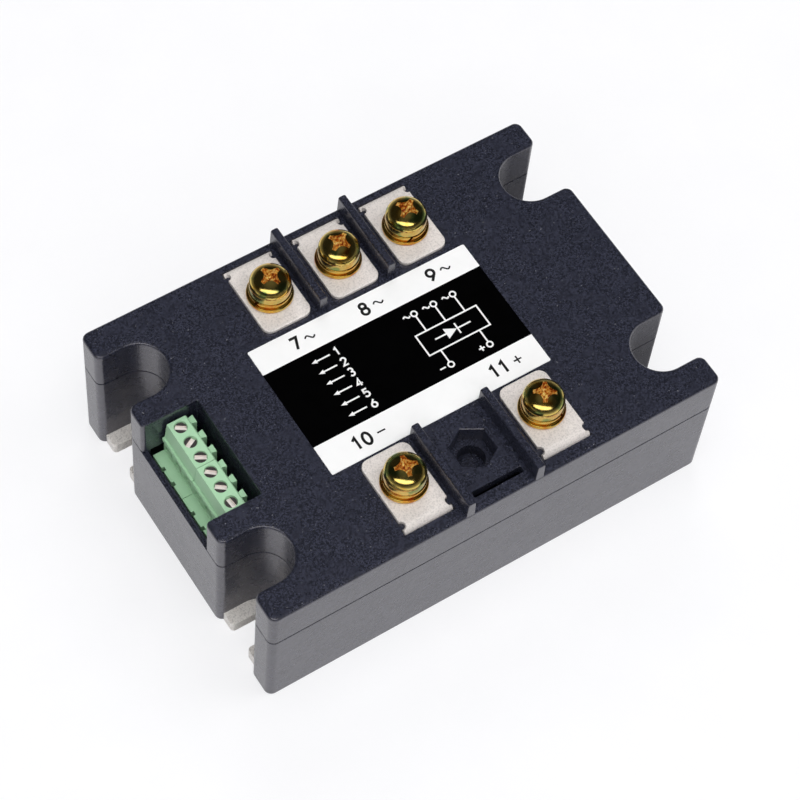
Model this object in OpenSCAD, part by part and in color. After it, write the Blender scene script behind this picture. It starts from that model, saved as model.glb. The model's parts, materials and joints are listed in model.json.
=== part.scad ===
// Three-phase solid state power module in a two-piece moulded housing.
// Millimetres, +Z up. The origin is the middle of the base's underside, +X runs along the
// long side away from the control terminals, and +Y points to the three input terminals.

/* [Body] */
// Length of the moulded housing
body_l = 104.2; // [100:0.2:116]
// Width of the moulded housing
body_w = 73; // [70:0.5:82]
// Height of the lid's flat top above the base's underside
body_h = 33.7; // [31:0.1:38]
// Height of the seam between lower housing and lid
seam_z = 23.3; // [21:0.1:25]
// Height of the shadow groove at the seam
seam_gap = 0.3; // [0.2:0.05:0.5]
// Depth of the shadow groove
seam_depth = 0.7; // [0.4:0.1:1]
// Wall thickness of both mouldings
wall = 1.8; // [1.5:0.1:1.8]
// Thickness of the lid's top
lid_t = 2.5; // [2:0.1:3.2]
// Radius of the housing's vertical corners
corner_r = 1.6; // [1:0.1:2.4]

/* [Base and mounting] */
// Thickness of the metal base
base_t = 3; // [2:0.1:4]
// Gap between the lower housing's rim and the mounting surface
rim_gap = 0.3; // [0.1:0.1:0.8]
// Thickness of the rim that hides the base's edge along the sides
rim_side = 1.2; // [0.8:0.1:1.6]
// Thickness of the rim that hides the base's edge at the ends
rim_end = 1; // [0.8:0.1:1.4]
// Distance between mounting slots along the housing
mount_pitch_x = 92.5; // [90:0.5:94]
// Distance between mounting slots across the housing
mount_pitch_y = 47.2; // [46:0.2:48]
// Width of the base's open mounting slots
mount_slot_w = 5.6; // [4.5:0.1:6.5]
// Width of the notches that give access to the mounting screws
notch_w = 12.1; // [11:0.1:13]

/* [Power terminals] */
// Distance between neighbouring terminals
terminal_pitch = 16; // [15.6:0.1:17]
// Offset of the middle terminals along the housing
terminal_x0 = 0.8; // [-1:0.1:2]
// Offset of the two terminal rows across the housing
terminal_y0 = 0.5; // [0.3:0.1:0.5]
// Distance from the housing's side to the terminal screws, before the rows' offset
terminal_in = 11.7; // [11:0.1:12.4]
// Width of a busbar
bar_w = 11; // [9:0.1:11.6]
// Thickness of a busbar
bar_t = 1; // [0.8:0.1:1.4]
// Length of a busbar's top, from its inner end to its outer face
bar_l = 17.2; // [16.8:0.1:17.6]
// Distance from the housing's side to a busbar's outer face, before the rows' offset
bar_edge = 2.4; // [2.4:0.1:3]
// Corner radius at a busbar's inner end
bar_corner_r = 2; // [1:0.1:3]
// Inside radius of a busbar's bend
bar_bend_r = 0.2; // [0.1:0.05:0.4]
// Radius of the bend relief notches
bar_relief_r = 0.9; // [0.5:0.1:1.2]
// Width of an output busbar's foot
foot_w = 7; // [5:0.5:7.5]
// Length of an input busbar's soldered foot
foot_l = 8; // [5:0.5:10]
// Nominal thread diameter of the terminal screws
screw_d = 5; // [4.5:0.1:5.2]
// Thread pitch of the terminal screws
screw_pitch = 0.8; // [0.5:0.05:1]
// Length of a terminal screw below its head
screw_l = 12; // [10:0.5:13]
// Diameter of a terminal screw's head
head_d = 8.5; // [8:0.1:9.5]
// Height of a terminal screw's head
head_h = 4.7; // [4:0.1:5]
// Outside diameter of the flat washers
washer_d = 9.6; // [9.4:0.1:10.6]
// Thickness of the flat washers
washer_t = 1; // [0.6:0.1:1.2]
// Outside diameter of the spring washers
spring_d = 8.8; // [8:0.1:9.4]
// Thickness of the spring washers
spring_t = 1.3; // [1:0.1:1.6]
// Width across the flats of the terminal nuts
nut_af = 8; // [7.5:0.1:8.4]
// Height of the terminal nuts
nut_h = 4; // [3.2:0.1:4.2]
// Thickness of the partition walls
partition_t = 2.1; // [1.6:0.1:2.4]
// Height of the partition walls above the lid
partition_h = 4.2; // [3:0.1:6]
// Offset of the partition walls along the housing
partition_x0 = 0.4; // [0.2:0.1:0.9]
// How far the back partitions reach inward past the busbars
partition_back_over = 0.2; // [0:0.1:0.8]
// How far the front partitions reach inward past the busbars
partition_front_over = 0.5; // [0:0.1:0.8]

/* [Label] */
// Length of the label
label_l = 51; // [44:0.5:56]
// Gap between the label and the back partitions
label_back_gap = 1; // [0.2:0.1:3]
// Gap between the label and the front partitions
label_front_gap = 0.3; // [0.2:0.1:3]
// Offset of the label's centre along the housing
label_x = -0.4; // [-2:0.1:2]
// Thickness of the label
label_t = 0.15; // [0.1:0.05:0.3]

/* [Control terminals] */
// Distance between neighbouring control terminals
pole_pitch = 3.81; // [3.7:0.01:3.9]
// Distance from the housing's end to the control screws
control_in = 7.2; // [7.1:0.05:7.4]
// Depth of the recess in the lid, from the housing's end
recess_d = 12.5; // [12.2:0.1:13]
// Width of the recess in the lid
recess_w = 24.1; // [23.9:0.1:25]
// Thickness of the low wall in front of the control terminals
low_wall = 1.2; // [1:0.05:1.3]
// Depth of the terminal block's lip in front of the wire entries
lip_d = 2.5; // [2:0.1:2.6]
// Height of the lip
lip_h = 2.1; // [1.8:0.1:2.4]
// Distance from the screw line forward to the wire entry face
entry_front = 2.8; // [2.6:0.1:2.9]
// Distance from the screw line back to the block's rear face
block_back = 2.4; // [2.4:0.1:2.8]
// Distance from the screw line forward to the top's front edge
block_top_front = 2.05; // [1.8:0.05:2.3]
// Distance from the screw line back to the top's rear edge
block_top_back = 2.05; // [1.8:0.05:2.3]
// Height of a wire entry
entry_h = 3; // [2.4:0.1:3.2]
// Width of a wire entry
entry_w = 2.5; // [2:0.1:2.6]
// Height of the ridge above the wire entries
ridge_h = 1.2; // [0.8:0.1:1.6]
// Width of the flat on top of the ridge
ridge_w = 0.5; // [0.3:0.1:0.7]
// Depth of the ribs on the block's rear face
rib_d = 1.2; // [0.8:0.1:1.4]
// Width of the ribs at their outside
rib_w = 1.9; // [1.4:0.1:2]
// Width of the ribs at the block's rear face
rib_root = 1.3; // [0.8:0.1:1.4]
// Distance of the rib tops below the block's top
rib_drop = 0.9; // [0.8:0.1:3]
// Length of a clamp cage along the wire
cage_l = 2.6; // [2.2:0.1:2.7]
// Height of a clamp cage
cage_h = 4; // [3.8:0.1:4.2]
// Thickness of a clamp cage's sides and floor
cage_wall = 0.4; // [0.35:0.05:0.45]
// Thickness of a clamp cage's threaded top
cage_top = 0.7; // [0.6:0.05:0.8]
// Travel of a clamp cage
cage_travel = 1.6; // [1:0.1:1.7]
// Nominal thread diameter of a clamp screw
clamp_d = 2; // [1.6:0.1:2.1]
// Diameter of a clamp screw's head
clamp_head_d = 2.5; // [2.4:0.05:2.6]
// Height of a clamp screw's head
clamp_head_h = 2.1; // [1.7:0.1:2.5]
// Depth of a clamp screw's head below the block's top
clamp_sink = 0.3; // [0.2:0.1:0.7]
// Thickness of a contact tongue
tongue_t = 0.7; // [0.5:0.05:0.8]
// Width of a contact tongue
tongue_w = 1.4; // [1:0.05:1.5]
// Depth of the block's top below the lid's top
block_drop = 2.3; // [1.5:0.1:3]

/* [Inside] */
// Thickness of the control board
board_t = 1.6; // [1:0.1:2]
// Distance from the housing's side to the control board's long edges
board_edge = 5.5; // [5:0.1:6]
// Diameter of the control board's screws
board_screw_d = 2.2; // [2:0.1:2.6]
// Length of the board screws below their heads
board_screw_l = 6; // [5:0.5:8]
// Thickness of the ceramic substrates
ceramic_t = 0.63; // [0.4:0.01:1]
// Width of a ceramic substrate
ceramic_w = 15; // [13:0.5:15.2]
// Thickness of the copper on the substrates
copper_t = 0.3; // [0.2:0.05:0.5]
// Thickness of the power chips
chip_t = 0.4; // [0.3:0.05:0.6]
// Width of a thyristor chip
thyristor_w = 11; // [10.6:0.1:12]
// Width of a diode chip
diode_w = 10; // [8:0.5:12]
// Thickness of the bus straps
bus_t = 1; // [0.8:0.1:1.5]
// Width of the bus straps
bus_w = 6; // [4:0.5:6.5]
// Diameter of the gate leads
lead_d = 0.8; // [0.6:0.05:0.9]
// Height of the pulse transformers
transformer_h = 8.5; // [6:0.5:9]
// Diameter of the electrolytic capacitors
capacitor_d = 8; // [6:0.5:9]
// Height of the electrolytic capacitors
capacitor_h = 9.5; // [7:0.5:10]

/* [Hidden] */
$fn = 64;
cut = 0.5;
side_gap = 0.2;
run_gap = 0.05;
hole_gap = 0.4;
nut_gap = 0.15;
fit_gap = 0.1;

// Levels of the mouldings
base_l = body_l - 2 * rim_end - 2 * fit_gap;
base_w = body_w - 2 * rim_side - 2 * fit_gap;
land_z = seam_z + seam_gap / 2;
groove_z = seam_z - seam_gap / 2;
ceiling_z = body_h - lid_t;
mount_x = mount_pitch_x / 2;
mount_y = mount_pitch_y / 2;
notch_r = notch_w / 2;
tongue_y = mount_y - notch_r;
end_x = -body_l / 2;

// Power terminals: column along the housing and side, +1 for the back; one position stays empty
TERMINALS = [[0, 1], [1, 1], [2, 1], [0, -1], [2, -1]];
EMPTY = [1, -1];
POSITIONS = concat(TERMINALS, [EMPTY]);
COLUMNS = 3;
SCREW_ANGLES = [15, 30, 33, 77, 57];
SPLIT_ANGLES = [200, 320, 250, 160, 290];
bar_top = body_h + bar_t;
washer_top = bar_top + washer_t;
head_z = washer_top + spring_t;
terminal_y = body_w / 2 - terminal_in;
bar_out = body_w / 2 - bar_edge;
bar_in = bar_out - bar_l;
bend_y = bar_out - bar_bend_r - bar_t;
partition_back_in = bar_in + terminal_y0 - partition_back_over;
partition_front_in = bar_in - terminal_y0 - partition_front_over;
label_back = partition_back_in - label_back_gap;
label_front = label_front_gap - partition_front_in;
nut_pocket_h = nut_h + nut_gap;
nut_floor_t = 2;
boss_wall = 2.5;
boss_w = nut_af + 2 * boss_wall;
boss_z = body_h - nut_pocket_h - nut_floor_t;
blind_depth = 3.4;
blind_floor_t = 1.2;
blind_boss_d = 9;
blind_z = body_h - nut_pocket_h - blind_depth;
bar_slot_in = bend_y - run_gap;
bar_slot_out = bar_out + fit_gap;
recess_depth = 1.9;
recess_arm = 1.1;
recess_reach = 2.1;
head_rim = 1.7;
head_crown = 1.5;
head_steps = 6;
tip_chamfer = 0.6;
spring_split = 0.6;
split_slant = 25;

// Control terminals
POLES = 3;
screw_x = end_x + control_in;
slack = 0.1;
clear_top = 0.2;
shoulder_t = 0.5;
cage_floor = 2.6;
block_half = POLES * pole_pitch;
block_gap = 0.1;
back_ease = 0.6;
rib_y = 0.8;
cage_w = clamp_d + 2 * side_gap + 2 * cage_wall;
chamber_l = cage_l + 2 * side_gap;
chamber_w = cage_w + 2 * fit_gap;
cage_z0 = cage_floor + slack;
chamber_top = cage_z0 + cage_h + cage_travel + clear_top;
clamp_head_z0 = chamber_top + shoulder_t;
block_h = clamp_head_z0 + clamp_head_h + clamp_sink;
tongue_top = cage_z0 + cage_h - cage_top - slack;
clamp_tip = tongue_top + slack + run_gap;
ridge_over = 0.3;
entry_roof = 0.4;
ridge_z = cage_floor + entry_h + entry_roof;
pin_t = 0.5;
pin_w = 1;
pin_x = chamber_l / 2 + run_gap;
pin_hole_d = pin_t + 2 * side_gap;
pin_tail_l = 3;
lip_notch_w = 0.9;
lip_notch_d = 0.6;
clamp_slot_w = 0.9;
clamp_slot_d = 0.7;
CLAMP_ANGLES = [-34, 27, -30, -39, -37, -84];

// Inside
board_top = body_h - block_drop - block_h;
board_bottom = board_top - board_t;
board_gap = 0.5;
board_half_l = mount_x - notch_r - wall - board_gap;
board_half_w = body_w / 2 - board_edge;
board_end = -end_x - wall - board_gap;
board_end_w = 2 * (tongue_y - wall - board_gap);
post_in = 3.5;
post_x = board_half_l - post_in;
post_y = board_half_w - post_in / 2;
post_w = 6;
board_head_d = 4.4;
board_head_h = 1.6;
hook_x = 27;
hook_w = 6;
hook_t = 1.2;
hook_reach = 4;
barb_d = 0.6;
barb_h = 1.2;
barb_gap = 0.15;
copper_top = base_t + ceramic_t + copper_t;
chip_top = copper_top + chip_t;
bus_top = chip_top + bus_t;
thyristor_y = -12;
diode_y = 6;
ceramic_tail = 9;
ceramic_front = thyristor_y - ceramic_tail;
ceramic_back = terminal_y0 + bar_out;
copper_margin = 1;
bus_end = 5.5;
riser_h = 2.1;
riser_w = 8;
gate_in = 4.9;
gate_back = 4.8;
gate_y = thyristor_y - gate_back;
lead_over = 0.6;
transformer_l = 12;
transformer_w = 10;
transformer_y = -4;
coupler_l = 8.9;
coupler_w = 6.4;
coupler_h = 3.5;
coupler_y = 8;
controller_l = 17.9;
controller_w = 7.5;
controller_h = 2.3;
controller_in = 7.8;
regulator_l = 6.5;
regulator_w = 3.5;
regulator_h = 1.6;
capacitor_in = 6.8;
capacitor_y = 7.5;
resistor_l = 3.2;
resistor_w = 1.6;
resistor_h = 0.6;
resistor_y = 16;
resistor_pitch = 4;
RESISTORS = 8;
TRANSFORMER_LEGS = 4;
COUPLER_LEGS = 3;
CONTROLLER_LEGS = 7;
REGULATOR_LEGS = 1;
leg_w = 0.6;
leg_l = 1.2;
leg_h = 0.4;
leg_pitch = 2.54;

function column_x(column) = terminal_x0 + (column - 1) * terminal_pitch;
function pole_y(i) = (POLES - 0.5 - i) * pole_pitch;

// A box given by its low and high corners
module box(low, high) {
    translate(low) cube(high - low);
}

// A hexagon with two of its corners on the Y axis
module hex(across_flats, height) {
    rotate(30) cylinder(d = across_flats / cos(30), h = height, $fn = 6);
}

// The four mirrored corners of the housing
module four_corners() {
    for (sx = [0, 1], sy = [0, 1]) mirror([sx, 0, 0]) mirror([0, sy, 0]) children();
}

// What is left over when a square corner of the given radius is rounded
module corner_waste(r) {
    difference() {
        square(r + cut);
        circle(r);
    }
}

// Plan of the housing with its four mounting notches, drawn in by an inset
module outline(inset) {
    x1 = body_l / 2 - inset;
    y1 = body_w / 2 - inset;
    r_notch = notch_r + inset;
    r_corner = max(corner_r - inset, 0);
    difference() {
        square([2 * x1, 2 * y1], center = true);
        four_corners() {
            translate([mount_x, mount_y]) circle(r_notch);
            translate([mount_x, mount_y - r_notch]) square([x1 - mount_x + cut, 2 * r_notch]);
            if (r_corner > 0) {
                translate([x1 - r_corner, y1 - r_corner]) corner_waste(r_corner);
                translate([x1 - r_corner, mount_y - r_notch - r_corner]) corner_waste(r_corner);
                translate([x1 - r_corner, mount_y + r_notch + r_corner]) mirror([0, 1])
                    corner_waste(r_corner);
            }
        }
    }
}

module slab(inset, z0, z1) {
    translate([0, 0, z0]) linear_extrude(z1 - z0) outline(inset);
}

// Places a part at a power terminal, with +Y towards the housing's edge
module at_terminal(i) {
    at_position(TERMINALS[i]) children();
}

module at_position(place) {
    translate([column_x(place[0]), terminal_y0, 0]) mirror([0, place[1] < 0 ? 1 : 0, 0]) children();
}

module on_screw_axis(i) {
    translate([column_x(TERMINALS[i][0]), terminal_y0 + TERMINALS[i][1] * terminal_y, 0]) children();
}

module at_pole(i) {
    translate([screw_x, pole_y(i), board_top]) children();
}

module base_plate() {
    color("silver") difference() {
        box([-base_l / 2, -base_w / 2, 0], [base_l / 2, base_w / 2, base_t]);
        four_corners() translate([mount_x, mount_y, -cut]) {
            cylinder(d = mount_slot_w, h = base_t + 2 * cut);
            translate([0, -mount_slot_w / 2, 0]) cube([body_l / 2, mount_slot_w, base_t + 2 * cut]);
        }
    }
}

module board_post() {
    box(
        [post_x - post_w / 2, post_y - post_w / 2, base_t],
        [post_x + post_w / 2, body_w / 2 - wall + cut, board_bottom]
    );
}

module hook_window() {
    box(
        [hook_x - hook_w / 2 - barb_gap, body_w / 2 - wall - cut, land_z - hook_reach - barb_gap],
        [hook_x + hook_w / 2 + barb_gap, body_w / 2 - wall + barb_d, land_z - hook_reach + barb_h + barb_gap]
    );
}

module lower_housing() {
    color("dimgray") difference() {
        union() {
            difference() {
                union() {
                    slab(0, rim_gap, groove_z);
                    slab(seam_depth, groove_z, land_z);
                }
                slab(wall, rim_gap - cut, land_z + cut);
            }
            four_corners() board_post();
            box([end_x + wall - cut, -post_w, base_t], [end_x + wall + post_w / 2, post_w, board_bottom]);
        }
        box(
            [-base_l / 2 - fit_gap, -base_w / 2 - fit_gap, rim_gap - cut],
            [base_l / 2 + fit_gap, base_w / 2 + fit_gap, base_t]
        );
        four_corners() {
            hook_window();
            translate([post_x, post_y, board_bottom - board_screw_l])
                cylinder(d = board_screw_d + 2 * run_gap, h = board_screw_l + cut);
        }
        box(
            [end_x + low_wall, -recess_w / 2, board_bottom],
            [end_x + wall + cut, recess_w / 2, land_z + cut]
        );
    }
}

module partition(y0, y1) {
    r = partition_t / 2;
    box([-r, y0, body_h - cut], [r, y1, body_h + partition_h - r]);
    translate([0, y0, body_h + partition_h - r]) rotate([-90, 0, 0]) cylinder(r = r, h = y1 - y0);
}

module lid_hook() {
    face = body_w / 2 - wall;
    x0 = hook_x - hook_w / 2;
    box(
        [x0, face - barb_gap - hook_t, land_z - hook_reach],
        [x0 + hook_w, face - barb_gap, ceiling_z + cut]
    );
    box([x0, face - barb_gap - cut, land_z + cut], [x0 + hook_w, face + cut, ceiling_z + cut]);
    box(
        [x0, face - barb_gap - cut, land_z - hook_reach],
        [x0 + hook_w, face + barb_d - barb_gap, land_z - hook_reach + barb_h]
    );
}

// A terminal's nut pocket, its screw hole from a level upward and its busbar's slot
module terminal_cuts(hole_z) {
    translate([0, terminal_y, body_h - nut_pocket_h]) hex(nut_af + 2 * nut_gap, nut_pocket_h + cut);
    translate([0, terminal_y, hole_z]) cylinder(d = screw_d + 2 * hole_gap, h = body_h - hole_z);
    box(
        [-bar_w / 2 - side_gap, bar_slot_in, ceiling_z - cut],
        [bar_w / 2 + side_gap, bar_slot_out, body_h + cut]
    );
}

module lid() {
    color("darkslategray") difference() {
        union() {
            difference() {
                slab(0, land_z, body_h);
                slab(wall, land_z - cut, ceiling_z);
            }
            for (place = POSITIONS) at_position(place) translate([0, terminal_y, 0])
                box([-boss_w / 2, -boss_w / 2, boss_z], [boss_w / 2, boss_w / 2, ceiling_z + cut]);
            box(
                [end_x + cut, -recess_w / 2 - wall, land_z],
                [end_x + recess_d + wall, recess_w / 2 + wall, ceiling_z + cut]
            );
            for (s = [-0.5, 0.5]) translate([partition_x0 + s * terminal_pitch, 0, 0]) {
                partition(partition_back_in, body_w / 2 - fit_gap);
                partition(-body_w / 2 + fit_gap, -partition_front_in);
            }
            at_position(EMPTY) translate([0, terminal_y, blind_z - blind_floor_t])
                cylinder(d = blind_boss_d, h = boss_z - blind_z + blind_floor_t + cut);
            four_corners() lid_hook();
        }
        box([end_x - cut, -recess_w / 2, land_z - cut], [end_x + recess_d, recess_w / 2, body_h + cut]);
        for (place = TERMINALS) at_position(place) terminal_cuts(boss_z - cut);
        at_position(EMPTY) terminal_cuts(blind_z);
    }
}

module label() {
    color("black") translate([label_x, 0, body_h])
        box([-label_l / 2, label_front, 0], [label_l / 2, label_back, label_t]);
}

// The flat top of a busbar with its rounded inner corners, screw hole and bend reliefs
module bar_head() {
    translate([0, 0, body_h]) linear_extrude(bar_t) difference() {
        translate([-bar_w / 2, bar_in]) square([bar_w, bend_y - bar_in]);
        for (s = [0, 1]) mirror([s, 0]) {
            translate([bar_w / 2 - bar_corner_r, bar_in + bar_corner_r]) mirror([0, 1])
                corner_waste(bar_corner_r);
            translate([bar_w / 2, bend_y - bar_relief_r]) circle(bar_relief_r);
        }
        translate([0, terminal_y]) circle(d = screw_d + 2 * hole_gap);
    }
}

// The bend and the leg that passes through the lid, ending at a foot level
module bar_leg(z0) {
    bend_z = bar_top - bar_t - bar_bend_r;
    translate([-bar_w / 2, bend_y, bend_z]) rotate([90, 0, 90]) linear_extrude(bar_w) intersection() {
        difference() {
            circle(bar_bend_r + bar_t);
            circle(bar_bend_r);
        }
        square(bar_bend_r + bar_t + cut);
    }
    box([-bar_w / 2, bar_out - bar_t, z0], [bar_w / 2, bar_out, bend_z]);
}

module input_busbar(i) {
    color("lightgray") at_terminal(i) {
        bar_head();
        bar_leg(copper_top);
        box([-bar_w / 2, bar_out - foot_l, copper_top], [bar_w / 2, bar_out, copper_top + bar_t]);
    }
}

// An output busbar's foot reaches in over the chips to the far edge of its bus strap's seat
module output_busbar(i, z0, seat_edge) {
    color("lightgray") at_terminal(i) {
        bar_head();
        bar_leg(z0);
        box([-foot_w / 2, terminal_y0 - seat_edge, z0], [foot_w / 2, bar_out, z0 + bar_t]);
    }
}

module terminal_nuts() {
    color("goldenrod") for (i = [0 : len(TERMINALS) - 1])
        on_screw_axis(i) translate([0, 0, body_h - nut_h]) difference() {
            hex(nut_af, nut_h);
            translate([0, 0, -cut]) cylinder(d = screw_d + 2 * run_gap, h = nut_h + 2 * cut);
        }
}

module flat_washer(i) {
    color("gold") on_screw_axis(i) translate([0, 0, bar_top]) difference() {
        cylinder(d = washer_d, h = washer_t);
        translate([0, 0, -cut]) cylinder(d = screw_d + 2 * side_gap, h = washer_t + 2 * cut);
    }
}

module spring_washer(i) {
    color("gold") on_screw_axis(i) translate([0, 0, washer_top]) rotate(SPLIT_ANGLES[i]) difference() {
        cylinder(d = spring_d, h = spring_t);
        translate([0, 0, -cut]) cylinder(d = screw_d + 2 * side_gap, h = spring_t + 2 * cut);
        translate([0, 0, spring_t / 2]) rotate([split_slant, 0, 0])
            translate([0, -spring_split / 2, -spring_d / 2]) cube([spring_d, spring_split, spring_d]);
    }
}

// Pan head: a straight rim, then a quarter ellipse up to the flat crown
module pan_head() {
    r = head_d / 2;
    dome = [for (k = [0 : head_steps]) let (a = 90 * k / head_steps)
        [head_crown + (r - head_crown) * cos(a), head_rim + (head_h - head_rim) * sin(a)]];
    rotate_extrude() polygon(concat([[0, 0], [r, 0]], dome, [[0, head_h]]));
}

module terminal_screw(i) {
    r = screw_d / 2;
    color("gold") on_screw_axis(i) translate([0, 0, head_z]) {
        difference() {
            pan_head();
            rotate(SCREW_ANGLES[i]) for (a = [0, 90]) rotate(a)
                box(
                    [-recess_reach, -recess_arm / 2, head_h - recess_depth],
                    [recess_reach, recess_arm / 2, head_h + cut]
                );
        }
        rotate_extrude() polygon([
            [0, cut], [r, cut], [r, tip_chamfer - screw_l], [r - tip_chamfer, -screw_l], [0, -screw_l],
        ]);
    }
}

// Side view of the block, measured from the screw line and the board's top
module block_profile() {
    front = -entry_front;
    polygon([
        [front - lip_d, 0], [front - lip_d, lip_h], [front, lip_h], [front, ridge_z],
        [front - ridge_over, ridge_z], [front - ridge_over, ridge_z + ridge_h],
        [front - ridge_over + ridge_w, ridge_z + ridge_h], [-block_top_front, block_h],
        [block_top_back, block_h], [block_back, block_h - back_ease], [block_back, 0],
    ]);
}

module pole_cuts() {
    translate([0, 0, chamber_top - cut]) cylinder(d = clamp_d + 2 * fit_gap, h = block_h);
    translate([0, 0, clamp_head_z0]) cylinder(d = clamp_head_d + 2 * fit_gap, h = block_h);
    box([-chamber_l / 2, -chamber_w / 2, cage_floor], [chamber_l / 2, chamber_w / 2, chamber_top]);
    box([-entry_front - cut, -entry_w / 2, cage_floor], [0, entry_w / 2, cage_floor + entry_h]);
    box(
        [0, -tongue_w / 2 - fit_gap, -cut],
        [pin_x + pin_t + run_gap, tongue_w / 2 + fit_gap, tongue_top + run_gap]
    );
}

// A dovetail rib on the block's rear face
module rib() {
    translate([block_back, rib_y, 0]) linear_extrude(block_h - rib_drop) polygon([
        [-cut, -rib_root / 2], [0, -rib_root / 2], [rib_d, -rib_w / 2],
        [rib_d, rib_w / 2], [0, rib_root / 2], [-cut, rib_root / 2],
    ]);
}

// One three-pole block: first is the index of its first pole
module control_block(first) {
    color("mediumseagreen") difference() {
        union() {
            translate([screw_x, pole_y(first) + (pole_pitch - block_gap) / 2, board_top]) rotate([90, 0, 0])
                linear_extrude(block_half - block_gap) block_profile();
            for (i = [first : first + POLES - 1]) at_pole(i) rib();
        }
        for (i = [first : first + POLES - 1]) at_pole(i) pole_cuts();
        for (i = [first : first + POLES - 2]) at_pole(i)
            box(
                [-entry_front - lip_d - cut, -pole_pitch / 2 - lip_notch_w / 2, -cut],
                [-entry_front - lip_d + lip_notch_d, -pole_pitch / 2 + lip_notch_w / 2, lip_h + cut]
            );
    }
}

module contact_pins() {
    color("silver") for (i = [0 : 2 * POLES - 1]) at_pole(i) {
        box(
            [-chamber_l / 2, -tongue_w / 2, tongue_top - tongue_t],
            [pin_x + pin_t, tongue_w / 2, tongue_top]
        );
        box([pin_x, -pin_w / 2, 0], [pin_x + pin_t, pin_w / 2, tongue_top]);
        translate([pin_x + pin_t / 2, 0, -pin_tail_l]) cylinder(d = pin_t, h = pin_tail_l + cut);
    }
}

module clamp_screw(i) {
    color("lightgray") at_pole(i) difference() {
        union() {
            translate([0, 0, clamp_head_z0]) cylinder(d = clamp_head_d, h = clamp_head_h);
            translate([0, 0, clamp_tip]) cylinder(d = clamp_d, h = clamp_head_z0 - clamp_tip + cut);
        }
        translate([0, 0, clamp_head_z0 + clamp_head_h - clamp_slot_d]) rotate(CLAMP_ANGLES[i])
            box([-clamp_head_d, -clamp_slot_w / 2, 0], [clamp_head_d, clamp_slot_w / 2, clamp_slot_d + cut]);
    }
}

module clamp_cage(i) {
    color("goldenrod") at_pole(i) translate([0, 0, cage_z0]) difference() {
        box([-cage_l / 2, -cage_w / 2, 0], [cage_l / 2, cage_w / 2, cage_h]);
        box(
            [-cage_l, cage_wall - cage_w / 2, cage_wall],
            [cage_l, cage_w / 2 - cage_wall, cage_h - cage_top]
        );
        translate([0, 0, cage_h - cage_top - cut])
            cylinder(d = clamp_d + 2 * run_gap, h = cage_top + 2 * cut);
    }
}

// A gate lead from each thyristor's corner and its return lead from the positive bus
module lead_pairs(d) {
    for (c = [0 : COLUMNS - 1]) translate([column_x(c), 0, 0]) {
        translate([-gate_in, gate_y, chip_top]) cylinder(d = d, h = board_top + lead_over - chip_top);
        translate([gate_in, thyristor_y, bus_top]) cylinder(d = d, h = board_top + lead_over - bus_top);
    }
}

module control_board() {
    color("darkgreen") difference() {
        union() {
            box([-board_half_l, -board_half_w, board_bottom], [board_half_l, board_half_w, board_top]);
            box([-board_end, -board_end_w / 2, board_bottom], [0, board_end_w / 2, board_top]);
        }
        four_corners() translate([post_x, post_y, board_bottom - cut])
            cylinder(d = board_screw_d + 2 * side_gap, h = board_t + 2 * cut);
        lead_pairs(lead_d + 2 * side_gap);
        for (i = [0 : 2 * POLES - 1]) at_pole(i) translate([pin_x + pin_t / 2, 0, -board_t - cut])
            cylinder(d = pin_hole_d, h = board_t + 2 * cut);
    }
}

module board_screws() {
    color("silver") four_corners() translate([post_x, post_y, board_top]) {
        cylinder(d = board_head_d, h = board_head_h);
        translate([0, 0, -board_screw_l]) cylinder(d = board_screw_d, h = board_screw_l + cut);
    }
}

module ceramic_substrates() {
    color("white") for (c = [0 : COLUMNS - 1]) translate([column_x(c), 0, base_t])
        box([-ceramic_w / 2, ceramic_front, 0], [ceramic_w / 2, ceramic_back, ceramic_t]);
}

module substrate_copper() {
    half = ceramic_w / 2 - copper_margin;
    color("peru") for (c = [0 : COLUMNS - 1]) translate([column_x(c), 0, base_t + ceramic_t])
        box([-half, ceramic_front + copper_margin, 0], [half, ceramic_back, copper_t]);
}

module chips(w, y) {
    color("slategray") for (c = [0 : COLUMNS - 1]) translate([column_x(c), y, copper_top])
        box([-w / 2, -w / 2, 0], [w / 2, w / 2, chip_t]);
}

module bus_strap(y) {
    color("peru") box(
        [column_x(0) - bus_end, y - bus_w / 2, chip_top],
        [column_x(COLUMNS - 1) + bus_end, y + bus_w / 2, bus_top]
    );
}

module negative_bus() {
    bus_strap(diode_y);
    color("peru") translate([column_x(COLUMNS - 1), diode_y - bus_w / 2, bus_top - cut])
        box([-riser_w / 2, 0, 0], [riser_w / 2, bus_t, riser_h + cut]);
}

module gate_leads() {
    color("silver") lead_pairs(lead_d);
}

// A package body with a row of legs on each of two sides
module package(l, w, h, legs) {
    box([-l / 2, -w / 2, 0], [l / 2, w / 2, h]);
    for (k = [0 : legs - 1], s = [0, 1]) mirror([0, s, 0])
        translate([(k - (legs - 1) / 2) * leg_pitch, w / 2, 0])
            box([-leg_w / 2, -cut, 0], [leg_w / 2, leg_l, leg_h]);
}

module pulse_transformers() {
    color("black") for (c = [0 : COLUMNS - 1]) translate([column_x(c), transformer_y, board_top])
        package(transformer_l, transformer_w, transformer_h, TRANSFORMER_LEGS);
}

module optocouplers() {
    color("ivory") for (c = [0 : COLUMNS - 1]) translate([column_x(c), coupler_y, board_top])
        package(coupler_l, coupler_w, coupler_h, COUPLER_LEGS);
}

module controller_chip() {
    color("black") translate([controller_in - board_half_l, 0, board_top]) rotate(90)
        package(controller_l, controller_w, controller_h, CONTROLLER_LEGS);
}

module capacitors() {
    color("navy") for (s = [-1, 1]) translate([board_half_l - capacitor_in, s * capacitor_y, board_top])
        cylinder(d = capacitor_d, h = capacitor_h);
}

module voltage_regulator() {
    color("black") translate([board_half_l - capacitor_in, 0, board_top]) rotate(90)
        package(regulator_w, regulator_l, regulator_h, REGULATOR_LEGS);
}

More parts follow.
